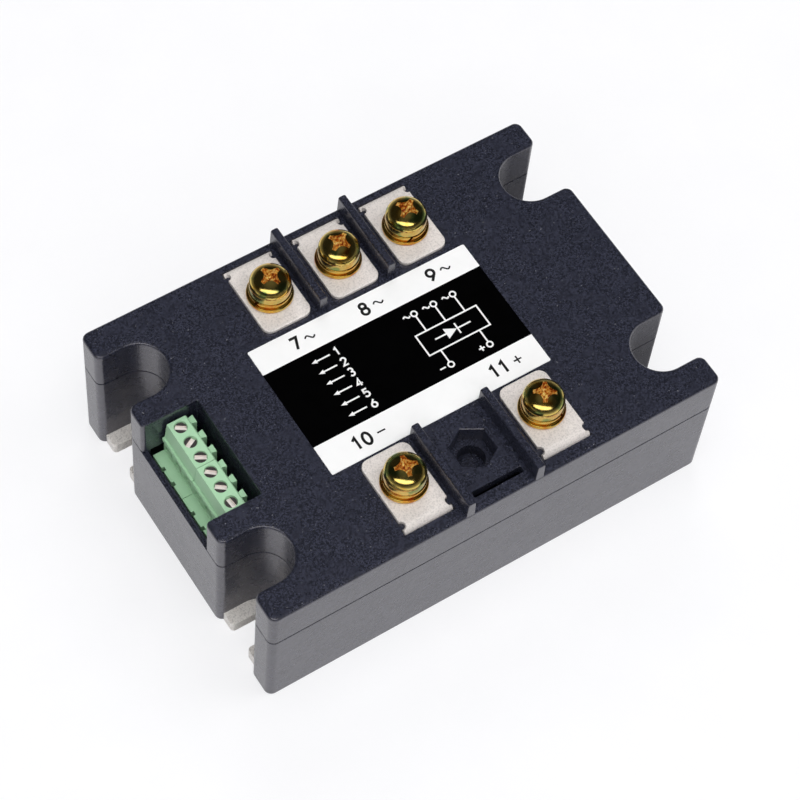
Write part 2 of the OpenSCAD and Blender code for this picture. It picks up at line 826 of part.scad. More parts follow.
module resistors() {
    color("black") for (k = [0 : RESISTORS - 1])
        translate([(k - (RESISTORS - 1) / 2) * resistor_pitch, resistor_y, board_top])
            box([-resistor_l / 2, -resistor_w / 2, 0], [resistor_l / 2, resistor_w / 2, resistor_h]);
}

base_plate();
lower_housing();
lid();
label();
for (i = [0 : COLUMNS - 1]) input_busbar(i);
output_busbar(3, bus_top, thyristor_y + bus_w / 2);  // output_busbar_1
output_busbar(4, bus_top + riser_h, diode_y - bus_w / 2 + bus_t);  // output_busbar_2
terminal_nuts();
for (i = [0 : len(TERMINALS) - 1]) {
    flat_washer(i);
    spring_washer(i);
    terminal_screw(i);
}
control_block(0);  // control_block_1
control_block(POLES);  // control_block_2
contact_pins();
for (i = [0 : 2 * POLES - 1]) {
    clamp_screw(i);
    clamp_cage(i);
}
control_board();
board_screws();
ceramic_substrates();
substrate_copper();
chips(thyristor_w, thyristor_y);  // thyristor_chips
chips(diode_w, diode_y);  // diode_chips
bus_strap(thyristor_y);  // positive_bus
negative_bus();
gate_leads();
pulse_transformers();
optocouplers();
controller_chip();
capacitors();
voltage_regulator();
resistors();
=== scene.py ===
"""Looks of the three-phase solid state power module: meshes, materials, light and camera."""
import json
from math import cos, degrees, pi, radians, sin, sqrt

import bmesh
import bpy
from mathutils import Matrix, Vector


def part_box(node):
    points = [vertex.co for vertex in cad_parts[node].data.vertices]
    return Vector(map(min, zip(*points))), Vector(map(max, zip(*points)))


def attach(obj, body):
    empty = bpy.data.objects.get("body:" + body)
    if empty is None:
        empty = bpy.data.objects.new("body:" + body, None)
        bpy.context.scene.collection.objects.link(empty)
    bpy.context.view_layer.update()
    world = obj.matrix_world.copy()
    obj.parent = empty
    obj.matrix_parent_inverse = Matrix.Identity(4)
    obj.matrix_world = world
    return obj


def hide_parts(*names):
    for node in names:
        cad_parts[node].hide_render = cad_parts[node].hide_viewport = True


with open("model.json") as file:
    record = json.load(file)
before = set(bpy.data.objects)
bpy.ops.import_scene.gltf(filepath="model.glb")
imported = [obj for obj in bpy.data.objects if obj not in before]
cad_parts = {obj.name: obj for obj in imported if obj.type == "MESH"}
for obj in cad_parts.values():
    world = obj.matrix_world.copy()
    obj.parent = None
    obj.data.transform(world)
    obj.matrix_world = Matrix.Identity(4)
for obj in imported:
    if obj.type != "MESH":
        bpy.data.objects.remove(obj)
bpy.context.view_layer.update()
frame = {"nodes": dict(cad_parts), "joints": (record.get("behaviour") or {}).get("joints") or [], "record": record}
nodes = frame["nodes"]
joints = {j["name"]: j for j in frame["joints"]}
mounts = {m["name"]: m for m in frame["record"]["mounts"]}

# Lengths are in millimetres, apart from the lamps', and meshes are scaled to metres as they are made
MM = 0.001


def corners(node):
    """The low and high corners of a node's box."""
    low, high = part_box(node)
    return low / MM, high / MM


def place(row):
    """Where a joint or a mount stands."""
    return Vector(row["pos_m"]) / MM


# Levels and plan of the housing, from the frame
housing_low, housing_high = corners("lower_housing")
label_low, label_high = corners("label")
base_high = corners("base_plate")[1]
HALF_L, HALF_W = housing_high.x, housing_high.y
RIM_Z, LAND_Z, TOP_Z, BASE_T = housing_low.z, housing_high.z, label_low.z, base_high.z
MOUNT_X, MOUNT_Y = place(mounts["slot_back_right"])[:2]
SLOT_R = mounts["slot_back_right"]["dims"]["r_mm"]
BOARD_Z = corners("control_board")[0].z

# Sizes of the housing that the frame does not give
NOTCH_R = 6.05
CORNER_R = 1.6
SEAM_GAP = 0.3
SEAM_DEPTH = 0.7
WALL = 1.8
LOW_WALL = 1.2
RIM = 1.05
LID_T = 2.5
CEILING_Z = TOP_Z - LID_T
LID_WALL = 1.5
RECESS_D = 12.5
RECESS_HALF = 12.05

# Rounded edges. A small one has two steps, and its middle ring is a share of its size off both faces.
SIDE_FILLET = 0.8
NOTCH_FILLET = 0.75
RECESS_FILLET = 0.22
SEAM_FILLET = 0.08
RECESS_MOUTH_R = 0.9
RECESS_CORNER_R = 0.35
EASE_SHARE = 0.3
TOP_STRIP = 0.12
TINY = 0.02
MERGE_GAP = 0.0001
CORNER_STEPS = 6
NOTCH_STEPS = 36
FILLET_STEPS = 5
EASE_STEPS = 4
CIRCLE_STEPS = 40
RECTANGLE_STEPS = 3

# Power terminals: the screw axes come from the joints, and the sixth position is empty
SCREWS = [place(joints[f"terminal_turn_{i}"]) for i in range(1, 6)]
EMPTY = Vector((SCREWS[1].x, SCREWS[3].y, SCREWS[1].z))
BARS = [f"input_busbar_{i}" for i in (1, 2, 3)] + [f"output_busbar_{i}" for i in (1, 2)]
SCREW_ANGLES = [15, 30, 33, 77, 57]
SPLIT_ANGLES = [200, 320, 250, 160, 290]
NUT_POCKET = 8.3
NUT_POCKET_H = 4.15
NUT_FLOOR = 2.0
SCREW_HOLE_R = 2.9
BOSS = 13.0
BOSS_CORNER_R = 0.5
BLIND_DEPTH = 3.4
BLIND_FLOOR = 1.2
BLIND_BOSS_R = 4.5
PARTITION_T = 2.1
PARTITION_H = 4.2
PARTITION_X = [-7.6, 8.4]
PARTITION_BACK = (17.2, 36.4)
PARTITION_FRONT = (-36.4, -15.9)
PARTITION_SUNK = 1.3
PARTITION_DRAFT = 0.2
PARTITION_EASE = 0.45
PARTITION_END = 0.22


def arc(cx, cy, r, start, stop, steps):
    """Points on an arc, with its angles in degrees."""
    turns = [radians(start + (stop - start) * k / steps) for k in range(steps + 1)]
    return [(cx + r * cos(a), cy + r * sin(a)) for a in turns]


class Solid:
    """One piece's mesh, built from rings of points in millimetres."""

    def __init__(self):
        self.bm = bmesh.new()

    def ring(self, points):
        """New points in a ring, which other faces can share."""
        return [self.bm.verts.new(Vector(p) * MM) for p in points]

    def bridge(self, *rings):
        """Walls from each ring to the next."""
        for a, b in zip(rings, rings[1:]):
            for i in range(len(a)):
                j = (i + 1) % len(a)
                self.bm.faces.new((a[i], a[j], b[j], b[i]))

    def fill(self, *loops):
        """Closes a flat face; every loop after the first is a hole in it."""
        edges = []
        for loop in loops:
            for a, b in zip(loop, loop[1:] + loop[:1]):
                edges.append(self.bm.edges.get((a, b)) or self.bm.edges.new((a, b)))
        bmesh.ops.triangle_fill(self.bm, edges=edges, use_beauty=True, normal=(0, 0, 1))

    def cap(self, loop):
        """Closes a flat convex loop with one face."""
        self.bm.faces.new(loop)

    def loft(self, *rings):
        """A closed shell through rings, with a flat convex end at both."""
        made = [self.ring(r) for r in rings]
        self.bridge(*made)
        self.cap(made[0])
        self.cap(made[-1])

    def lathe(self, profile, centre, steps):
        """Turns a profile of (radius, height) points round a vertical axis."""
        rings = []
        for r, z in profile:
            if r == 0:
                rings.append(self.ring([(centre.x, centre.y, z)]) * steps)
            else:
                turn = arc(centre.x, centre.y, r, 0, 360, steps)[:-1]
                rings.append(self.ring([(x, y, z) for x, y in turn]))
        for a, b in zip(rings, rings[1:]):
            for i in range(steps):
                j = (i + 1) % steps
                face = dict.fromkeys((a[i], a[j], b[j], b[i]))
                self.bm.faces.new(list(face))

    def add_mesh(self, mesh):
        """Adds a finished mesh, which is in metres."""
        self.bm.from_mesh(mesh)

    def merge(self):
        """Joins points that lie in the same place."""
        bmesh.ops.remove_doubles(self.bm, verts=self.bm.verts, dist=MERGE_GAP * MM)

    def mesh(self, name, sharp=35):
        """The finished mesh, smooth but for edges sharper than an angle."""
        bmesh.ops.recalc_face_normals(self.bm, faces=self.bm.faces)
        mesh = bpy.data.meshes.new(name)
        self.bm.to_mesh(mesh)
        self.bm.free()
        mesh.shade_smooth()
        mesh.set_sharp_from_angle(angle=radians(sharp))
        return mesh


def link(name, data):
    """Puts a mesh, a lamp or a camera into the scene."""
    piece = bpy.data.objects.new(name, data)
    bpy.context.scene.collection.objects.link(piece)
    return piece


def flatten(piece):
    """Lets large faces set the normals, so that walls stay flat beside their rounded edges."""
    normals = piece.modifiers.new("normals", "WEIGHTED_NORMAL")
    normals.weight = 100
    normals.keep_sharp = True


def dress(name, solid, material, body, slot, *stands_for):
    """Makes a piece from a solid, and says what carries it and what it stands for."""
    piece = link(name, solid.mesh(name))
    piece.data.materials.append(material)
    flatten(piece)
    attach(piece, body)
    if stands_for:
        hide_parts(*stands_for)
    return piece


def cut_away(solid, cutter, name):
    """The mesh that is left of one solid when another is taken out of it."""
    kept, tool = link(name, solid.mesh(name)), link(name + "_tool", cutter.mesh(name + "_tool"))
    modifier = kept.modifiers.new("cut", "BOOLEAN")
    modifier.object = tool
    modifier.solver = "EXACT"
    depsgraph = bpy.context.evaluated_depsgraph_get()
    mesh = bpy.data.meshes.new_from_object(kept.evaluated_get(depsgraph))
    for temporary in (kept, tool):
        bpy.data.objects.remove(temporary)
    return mesh


# Materials


def set_stops(ramp, *stops):
    """Gives a colour ramp its (place, value) stops."""
    elements = ramp.color_ramp.elements
    elements.remove(elements[1])
    for k, (where, value) in enumerate(stops):
        element = elements[0] if k == 0 else elements.new(where)
        element.position = where
        colour = value if isinstance(value, tuple) else (value,) * 3
        element.color = (*colour, 1)


class Nodes:
    """A tree of nodes and the ways to add to it."""

    def __init__(self, tree):
        self.tree = tree

    def put(self, socket, value):
        """Gives an input a value, or another node's output to follow."""
        if isinstance(value, bpy.types.NodeSocket):
            self.tree.links.new(value, socket)
        else:
            socket.default_value = value

    def node(self, kind, **settings):
        """A new shader node with some of its properties and inputs set."""
        made = self.tree.nodes.new("ShaderNode" + kind)
        for key, value in settings.items():
            if hasattr(made, key):
                setattr(made, key, value)
            else:
                self.put(made.inputs[key.replace("_", " ")], value)
        return made


class Shader(Nodes):
    """A principled material whose sockets are fed by small procedural nodes."""

    def __init__(self, name, **sockets):
        self.material = bpy.data.materials.new(name)
        self.material.use_nodes = True
        super().__init__(self.material.node_tree)
        self.surface = self.tree.nodes["Principled BSDF"]
        self.feed(**sockets)
        self.place = self.node("TexCoord").outputs["Object"]
        self.normal = None

    def feed(self, **sockets):
        """Gives the surface's inputs their values or sources."""
        for key, value in sockets.items():
            self.put(self.surface.inputs[key.replace("_", " ")], value)

    def stretch(self, scale, turn=(0, 0, 0), shift=(0, 0, 0)):
        """The object's coordinates, scaled, turned and moved."""
        settings = dict(Scale=scale, Rotation=turn, Location=shift)
        return self.node("Mapping", Vector=self.place, **settings).outputs["Vector"]

    def along(self, axis, low, high):
        """How far a point is from low to high along an axis, from 0 to 1."""
        value = self.node("SeparateXYZ", Vector=self.place).outputs[axis]
        made = self.node("MapRange", Value=value, From_Min=low * MM, From_Max=high * MM)
        return made.outputs["Result"]

    def noise(self, size, detail=3, rough=0.55, vector=None):
        """Noise whose blotches are about size millimetres across."""
        settings = dict(Scale=1 / (size * MM), Detail=detail, Roughness=rough)
        return self.node("TexNoise", Vector=vector or self.place, **settings).outputs["Fac"]

    def ramp(self, source, *stops):
        """Colour or grey stops as (place, value) along a source from 0 to 1."""
        made = self.node("ValToRGB", Fac=source)
        set_stops(made, *stops)
        return made.outputs["Color"]

    def mix(self, factor, first, second):
        """Blends two colours, each a tuple or a socket."""
        made = self.node("Mix", data_type="RGBA", Factor=factor)
        for colour, socket in ((first, 6), (second, 7)):
            self.put(made.inputs[socket], (*colour, 1) if isinstance(colour, tuple) else colour)
        return made.outputs[2]

    def roughness(self, source, low, high):
        """Roughness that follows a source from low to high."""
        made = self.node("MapRange", Value=source, To_Min=low, To_Max=high)
        self.feed(Roughness=made.outputs["Result"])

    def bump(self, source, height):
        """Adds relief of about height millimetres."""
        made = self.node("Bump", Strength=1.0, Distance=height * MM, Height=source)
        if self.normal:
            self.put(made.inputs["Normal"], self.normal)
        self.normal = made.outputs["Normal"]
        self.feed(Normal=self.normal)
        return self


def moulded(name, dark, light, rough, grain, specks):
    """Spark-eroded plastic: fine grain, cloudy tone and a few pale specks."""
    shader = Shader(name, IOR=1.9, Specular_Tint=(0.99, 0.95, 1.0, 1))
    cloud = shader.mix(shader.noise(7, 5, 0.65), dark, light)
    pits = shader.ramp(shader.noise(0.36, 2, 0.6), (0.38, 1.0), (0.62, 0.0))
    tone = shader.mix(pits, cloud, tuple(0.35 * c for c in dark))
    dust = shader.ramp(shader.noise(0.5, 1), (0.0, 0.0), (0.75, 0.0), (0.79, specks))
    shader.feed(Base_Color=shader.mix(dust, tone, (0.30, 0.30, 0.32)))
    shader.roughness(shader.noise(5, 6, 0.65), *rough)
    gloss = shader.ramp(shader.noise(2.0, 6, 0.8), (0.3, 0.40), (0.7, 0.60))
    shader.feed(Specular_IOR_Level=gloss)
    shader.bump(shader.noise(1.1, 3), grain)
    return shader.bump(shader.noise(0.36, 2), grain).material


def plated(name, pale, deep, rough, grain, metallic, speckle):
    """Satin plating with dark speckles and faint scratches in two directions."""
    shader = Shader(name, Metallic=metallic)
    stain = shader.mix(shader.noise(2.2, 5, 0.65), deep, pale)
    dots = shader.ramp(shader.noise(0.32, 3, 0.6), (0.36, speckle), (0.54, 0.0))
    shader.feed(Base_Color=shader.mix(dots, stain, tuple(0.55 * c for c in deep)))
    shader.roughness(shader.noise(0.8, 4), *rough)
    shader.bump(shader.noise(0.22, 3), grain)
    for turn in (0.6, 2.1):
        scratch = shader.noise(1.0, 2, 0.5, shader.stretch((6.0, 0.12, 1.0), (0, 0, turn)))
        shader.bump(shader.ramp(scratch, (0.6, 0.0), (0.7, 1.0)), grain)
    return shader.material


def passivated(name, blotch, metallic, rough, *tints):
    """Yellow zinc: metal whose colour drifts through a row of tints."""
    shader = Shader(name, Metallic=metallic)
    places = [0.30 + 0.40 * k / (len(tints) - 1) for k in range(len(tints))]
    shader.feed(Base_Color=shader.ramp(shader.noise(blotch, 2, 0.5), *zip(places, tints)))
    shader.roughness(shader.noise(0.7), *rough)
    return shader.bump(shader.noise(0.5, 3), 0.006).material


def plain(name, dark, light, rough, metallic=0.0, blotch=1.5):
    """A finish with slight changes of tone, gloss and relief."""
    shader = Shader(name, Metallic=metallic)
    shader.feed(Base_Color=shader.mix(shader.noise(blotch), dark, light))
    shader.roughness(shader.noise(blotch * 0.6), *rough)
    return shader.bump(shader.noise(0.3, 2), 0.01).material


def slotted(name, floor_z, top_z):
    """Screw head with a polished top and a bright, coarsely cut slot."""
    shader = Shader(name)
    polish = shader.ramp(shader.along("Z", floor_z, top_z), (0.25, 0.0), (0.55, 1.0))
    shader.feed(Metallic=shader.ramp(polish, (0.0, 0.2), (1.0, 1.0)))
    shader.feed(Base_Color=shader.mix(shader.noise(0.8), (0.86, 0.77, 0.74), (0.99, 0.93, 0.91)))
    shader.roughness(polish, 0.5, 0.16)
    return shader.bump(shader.noise(0.25, 2), 0.01).material


def printed_film(name):
    """Label film: black field between two white bands across the housing."""
    shader = Shader(name, Specular_IOR_Level=0.03)
    across = shader.along("Y", label_low.y, label_high.y)
    width = label_high.y - label_low.y
    front, back = LABEL_FRONT_BAND / width, 1 - LABEL_BACK_BAND / width
    print_line = shader.ramp(across, (0.0, 1.0), (front, 0.0), (back, 1.0))
    print_line.node.color_ramp.interpolation = "CONSTANT"
    white = shader.mix(shader.noise(4), (0.87, 0.87, 0.87), (0.93, 0.93, 0.93))
    black = shader.mix(shader.noise(3), (0.0003, 0.0003, 0.0003), (0.001, 0.001, 0.0012))
    shader.feed(Base_Color=shader.mix(print_line, black, white))
    shader.roughness(shader.noise(5), 0.5, 0.62)
    return shader.bump(shader.noise(0.6, 2), 0.002).material


LABEL_FRONT_BAND = 6.9
LABEL_BACK_BAND = 6.1
PLASTIC = moulded(
    "housing_plastic", (0.026, 0.029, 0.048), (0.042, 0.045, 0.070), (0.20, 0.34), 0.03, 0.5
)
PLATE = plated("busbar_metal", (0.95, 0.89, 0.85), (0.80, 0.74, 0.70), (0.30, 0.45), 0.01, 0.2, 0.45)
BASE = plated("base_metal", (0.98, 0.95, 0.91), (0.82, 0.77, 0.72), (0.25, 0.45), 0.04, 0.1, 0.6)
OLIVE, GOLD, AMBER = (0.27, 0.34, 0.10), (0.74, 0.55, 0.15), (0.76, 0.44, 0.07)
# The pale straw tint paints glints of light in the cross recess
RUST, EMBER, STRAW_GLINT = (0.62, 0.19, 0.03), (0.22, 0.04, 0.005), (1.0, 0.74, 0.24)
ZINC = passivated("yellow_zinc", 3.4, 1.0, (0.10, 0.22), OLIVE, OLIVE, GOLD, GOLD, AMBER, RUST)
WASHER_ZINC = passivated("washer_zinc", 2.2, 1.0, (0.12, 0.25), GOLD, AMBER, RUST)
# The recess's brighter, less metallic orange with pale flecks is painted glow and glints of light bounced inside
# the cross
RECESS_GLOW_ZINC = passivated("recess_zinc_painted_glow", 0.6, 0.4, (0.2, 0.35), EMBER, EMBER, RUST, AMBER, STRAW_GLINT, STRAW_GLINT)
FILM = printed_film("label_film")
CLAMP_TOP = corners("clamp_screw_1")[1].z
CLAMP_SLOT_D = 0.7
SLOT_STEEL = slotted("slotted_steel", CLAMP_TOP - CLAMP_SLOT_D, CLAMP_TOP)
# Dark and light tone, range of roughness, then metallic and size of the blotches where they differ
PLAIN_FINISHES = {
    "green_plastic": ((0.36, 0.61, 0.38), (0.41, 0.66, 0.43), (0.38, 0.5), 0.0, 3),
    "nickel": ((0.74, 0.65, 0.61), (0.94, 0.86, 0.82), (0.2, 0.35), 0.45),
    "clamp_brass": ((0.55, 0.42, 0.20), (0.72, 0.56, 0.28), (0.25, 0.4), 1.0),
    # The board is near black as painted shade, for where it shows through openings in the housing
    "circuit_board": ((0.004, 0.008, 0.007), (0.008, 0.014, 0.012), (0.35, 0.5), 0.0, 4),
    "ceramic": ((0.80, 0.80, 0.77), (0.88, 0.88, 0.86), (0.5, 0.65)),
    "copper": ((0.62, 0.32, 0.18), (0.78, 0.44, 0.27), (0.25, 0.42), 1.0),
    "silicon": ((0.22, 0.23, 0.26), (0.32, 0.33, 0.37), (0.2, 0.3), 0.8),
    "black_component": ((0.014, 0.014, 0.014), (0.025, 0.025, 0.026), (0.4, 0.55)),
    "white_component": ((0.72, 0.71, 0.66), (0.82, 0.81, 0.77), (0.45, 0.6)),
    "capacitor_sleeve": ((0.02, 0.03, 0.14), (0.04, 0.05, 0.22), (0.25, 0.35)),
}
FINISHES = {name: plain(name, *values) for name, values in PLAIN_FINISHES.items()}
FINISHES |= {"housing_plastic": PLASTIC, "base_metal": BASE, "busbar_metal": PLATE}
FINISHES |= {"yellow_zinc": ZINC, "label_film": FILM}
INK_WHITE = plain("label_ink_white", (0.80, 0.80, 0.80), (0.90, 0.90, 0.90), (0.5, 0.62))
INK_BLACK = plain("label_ink_black", (0.003, 0.003, 0.003), (0.008, 0.008, 0.009), (0.5, 0.62))

# Every CAD node takes the finish of its slot
for row in frame["record"]["subparts"]:
    slots = nodes[row["node"]].data.materials
    slots.clear()
    slots.append(FINISHES[row["material_slot"]])

WELD_GAP = 0.002
FLAT_ANGLE = 1.5
EDGE_ANGLE = 40


def soften(node, width):
    """Rounds a CAD node's sharp edges by modifiers, which leave its own mesh alone."""
    piece = nodes[node]
    weld = piece.modifiers.new("weld", "WELD")
    weld.merge_threshold = WELD_GAP * MM
    flat = piece.modifiers.new("flat", "DECIMATE")
    flat.decimate_type = "DISSOLVE"
    flat.angle_limit = radians(FLAT_ANGLE)
    bevel = piece.modifiers.new("bevel", "BEVEL")
    bevel.width = width * MM
    bevel.segments = 2
    bevel.limit_method = "ANGLE"
    bevel.angle_limit = radians(EDGE_ANGLE)
    bevel.use_clamp_overlap = True
    flatten(piece)


# The housing's plan. Each point knows which kind of wall it is on: side, notch or recess.
SIDE, NOTCH, RECESS = (1, 0, 0), (0, 1, 0), (0, 0, 1)


def between(points, first, last):
    """Gives the points of an arc kinds that run from one wall to the next."""
    n = len(points) - 1
    return [(p, tuple(a + (b - a) * k / n for a, b in zip(first, last))) for k, p in enumerate(points)]


def quarter(half_l, half_w, notch_r, corner_r, side, notch):
    """Plan of the +X +Y quarter with its open notch, from the end to the long side, with insets."""
    x, y, r = half_l - side, half_w - side, notch_r + notch
    low, high = MOUNT_Y - r, MOUNT_Y + r
    mouth_r = max(corner_r - max(side, notch), TINY)
    outer_r = max(corner_r - side, TINY)
    path = between(arc(x - mouth_r, low - mouth_r, mouth_r, 0, 90, CORNER_STEPS), SIDE, NOTCH)
    path += [(p, NOTCH) for p in arc(MOUNT_X, MOUNT_Y, r, -90, -270, NOTCH_STEPS)]
    path += between(arc(x - mouth_r, high + mouth_r, mouth_r, -90, 0, CORNER_STEPS), NOTCH, SIDE)
    path += [(p, SIDE) for p in arc(x - outer_r, y - outer_r, outer_r, 0, 90, CORNER_STEPS)]
    return path


def recess_path(side, recess):
    """Plan of the bite for the control terminals in the -X end, from +Y to -Y."""
    x, back, half = side - HALF_L, RECESS_D - HALF_L + recess, RECESS_HALF + recess
    mouth_r = max(RECESS_MOUTH_R - max(side, recess), TINY)
    inner_r = RECESS_CORNER_R + recess
    path = between(arc(x + mouth_r, half + mouth_r, mouth_r, 180, 270, CORNER_STEPS), SIDE, RECESS)
    path += [(p, RECESS) for p in arc(back - inner_r, half - inner_r, inner_r, 90, 0, CORNER_STEPS)]
    path += [(p, RECESS) for p in arc(back - inner_r, inner_r - half, inner_r, 0, -90, CORNER_STEPS)]
    path += between(arc(x + mouth_r, -half - mouth_r, mouth_r, 90, 180, CORNER_STEPS), RECESS, SIDE)
    return path


def turned(path, sx, sy):
    """A quarter mirrored into another one, still running counter-clockwise."""
    made = [((sx * x, sy * y), kind) for (x, y), kind in path]
    return made if sx == sy else made[::-1]


def whole(path, end=()):
    """The plan from four quarters, with extra points in the middle of the -X end."""
    back, front = turned(path, 1, 1) + turned(path, -1, 1), turned(path, -1, -1) + turned(path, 1, -1)
    return back + list(end) + front


def weigh(kind, values):
    """A value for a point, from the values of the walls that it belongs to."""
    return sum(k * v for k, v in zip(kind, values))


FILLETS = (SIDE_FILLET, NOTCH_FILLET, RECESS_FILLET)


def lid_plan(side, notch, recess):
    """Plan of the lid with an inset for each kind of wall."""
    return whole(quarter(HALF_L, HALF_W, NOTCH_R, CORNER_R, side, notch), recess_path(side, recess))


def lid_ring(solid, inset, z):
    """A level ring of the lid with one inset all round."""
    return solid.ring([(x, y, z) for (x, y), _ in lid_plan(inset, inset, inset)])


def fillet_ring(solid, angle, extra=0.0):
    """A ring of the lid's rounded top edge, from its wall at 0 degrees to its top at 90."""
    out, up = 1 - cos(radians(angle)), 1 - sin(radians(angle))
    plan = lid_plan(*(f * out + extra for f in FILLETS))
    return solid.ring([(x, y, TOP_Z - up * weigh(kind, FILLETS)) for (x, y), kind in plan])


def hexagon(at, across, z):
    """A level hexagon by its width across flats."""
    corner = across / 2 / cos(radians(30))
    return [(x, y, z) for x, y in arc(at.x, at.y, corner, 30, 330, 5)]


def circle(at, r, z):
    """A level circle."""
    return [(x, y, z) for x, y in arc(at.x, at.y, r, 0, 360, CIRCLE_STEPS)[:-1]]


def rectangle(low, high, r, z):
    """A rectangle with round corners in a level plane."""
    (left, front), (right, back) = low, high
    centres = (right - r, back - r), (left + r, back - r), (left + r, front + r), (right - r, front + r)
    path = []
    for k, (x, y) in enumerate(centres):
        path += arc(x, y, r, 90 * k, 90 * (k + 1), RECTANGLE_STEPS)
    return [(x, y, z) for x, y in path]


BAR_W = 11.0
BAR_T = 1.0
BAR_FACE = {1: corners("input_busbar_1")[1].y, -1: corners("output_busbar_1")[0].y}
SLOT_SIDE = 0.2
SLOT_INNER = 1.25
SLOT_OUTER = 0.1
SLOT_CORNER_R = 0.12
SLOT_EDGE = 0.06
POCKET_EDGE = 0.14


def side_of(at):
    """1 at the back of the lid and -1 at the front."""
    return 1 if at.y > 0 else -1


def bar_slot(at, grow, z):
    """The slot that a busbar's leg passes through."""
    s = side_of(at)
    half = BAR_W / 2 + SLOT_SIDE + grow
    ys = sorted((BAR_FACE[s] - s * (SLOT_INNER + grow), BAR_FACE[s] + s * (SLOT_OUTER + grow)))
    return rectangle((at.x - half, ys[0]), (at.x + half, ys[1]), SLOT_CORNER_R + grow, z)


def partition(solid, x, ends):
    """A wall between two terminals, drawn in a little towards its eased top and ends."""
    def section(y, inset):
        """The wall's outline at one place along it."""
        foot, top = TOP_Z - PARTITION_SUNK, TOP_Z + PARTITION_H - inset
        low, high = PARTITION_T / 2 - inset, PARTITION_T / 2 - PARTITION_DRAFT - inset
        right = arc(high - PARTITION_EASE, top - PARTITION_EASE, PARTITION_EASE, 0, 90, FILLET_STEPS)
        left = [(-px, pz) for px, pz in reversed(right)]
        return [(x + px, y, pz) for px, pz in [(low, foot)] + right + left + [(-low, foot)]]

    (near, far), step = ends, EASE_SHARE * PARTITION_END
    rows = [(near, PARTITION_END), (near + step, step), (near + PARTITION_END, 0)]
    rows += [(far - PARTITION_END, 0), (far - step, step), (far, PARTITION_END)]
    solid.loft(*[section(y, inset) for y, inset in rows])


def nut_seat(solid, at):
    """A nut's pocket and boss with the screw's hole, which is blind at the empty position."""
    floor_z, boss_z = TOP_Z - NUT_POCKET_H, TOP_Z - NUT_POCKET_H - NUT_FLOOR
    mouth = solid.ring(hexagon(at, NUT_POCKET + 2 * POCKET_EDGE, TOP_Z))
    wall = solid.ring(hexagon(at, NUT_POCKET, TOP_Z - POCKET_EDGE))
    floor = solid.ring(hexagon(at, NUT_POCKET, floor_z))
    hole = solid.ring(circle(at, SCREW_HOLE_R, floor_z))
    square = (at.x - BOSS / 2, at.y - BOSS / 2), (at.x + BOSS / 2, at.y + BOSS / 2)
    boss = solid.ring(rectangle(*square, BOSS_CORNER_R, boss_z))
    root = solid.ring(rectangle(*square, BOSS_CORNER_R, CEILING_Z))
    solid.bridge(mouth, wall, floor)
    solid.fill(floor, hole)
    solid.bridge(boss, root)
    hole_z = floor_z - BLIND_DEPTH if at is EMPTY else boss_z
    hole_end = solid.ring(circle(at, SCREW_HOLE_R, hole_z))
    solid.bridge(hole, hole_end)
    opening = hole_end
    if at is EMPTY:
        solid.cap(hole_end)
        opening = solid.ring(circle(at, BLIND_BOSS_R, boss_z))
        stub_end = solid.ring(circle(at, BLIND_BOSS_R, hole_z - BLIND_FLOOR))
        solid.bridge(opening, stub_end)
        solid.cap(stub_end)
    solid.fill(boss, opening)
    return mouth, root


def make_lid():
    """The lid: a rounded shell with a nut seat and a slot at each terminal, and four partitions."""
    solid = Solid()
    inner_land = lid_ring(solid, LID_WALL, LAND_Z)
    step = EASE_SHARE * SEAM_FILLET
    outside = [lid_ring(solid, SEAM_FILLET, LAND_Z), lid_ring(solid, step, LAND_Z + step)]
    outside += [lid_ring(solid, 0, LAND_Z + SEAM_FILLET)]
    outside += [fillet_ring(solid, 90 * k / FILLET_STEPS) for k in range(FILLET_STEPS + 1)]
    outside += [fillet_ring(solid, 90, TOP_STRIP)]
    ceiling = lid_ring(solid, LID_WALL, CEILING_Z)
    solid.bridge(ceiling, inner_land, *outside)
    tops, undersides = [outside[-1]], [ceiling]
    for at in SCREWS + [EMPTY]:
        mouth, root = nut_seat(solid, at)
        levels = (SLOT_EDGE, TOP_Z), (0, TOP_Z - SLOT_EDGE), (0, CEILING_Z)
        slot = [solid.ring(bar_slot(at, grow, z)) for grow, z in levels]
        solid.bridge(*slot)
        tops += [mouth, slot[0]]
        undersides += [root, slot[-1]]
    solid.fill(*tops)
    solid.fill(*undersides)
    for x in PARTITION_X:
        partition(solid, x, PARTITION_BACK)
        partition(solid, x, PARTITION_FRONT)
    dress("lid_moulding", solid, PLASTIC, "housing", "housing_plastic", "lid")


# A point whose kind is more than this share of notch stands on the base
NOTCH_SHARE = 0.75


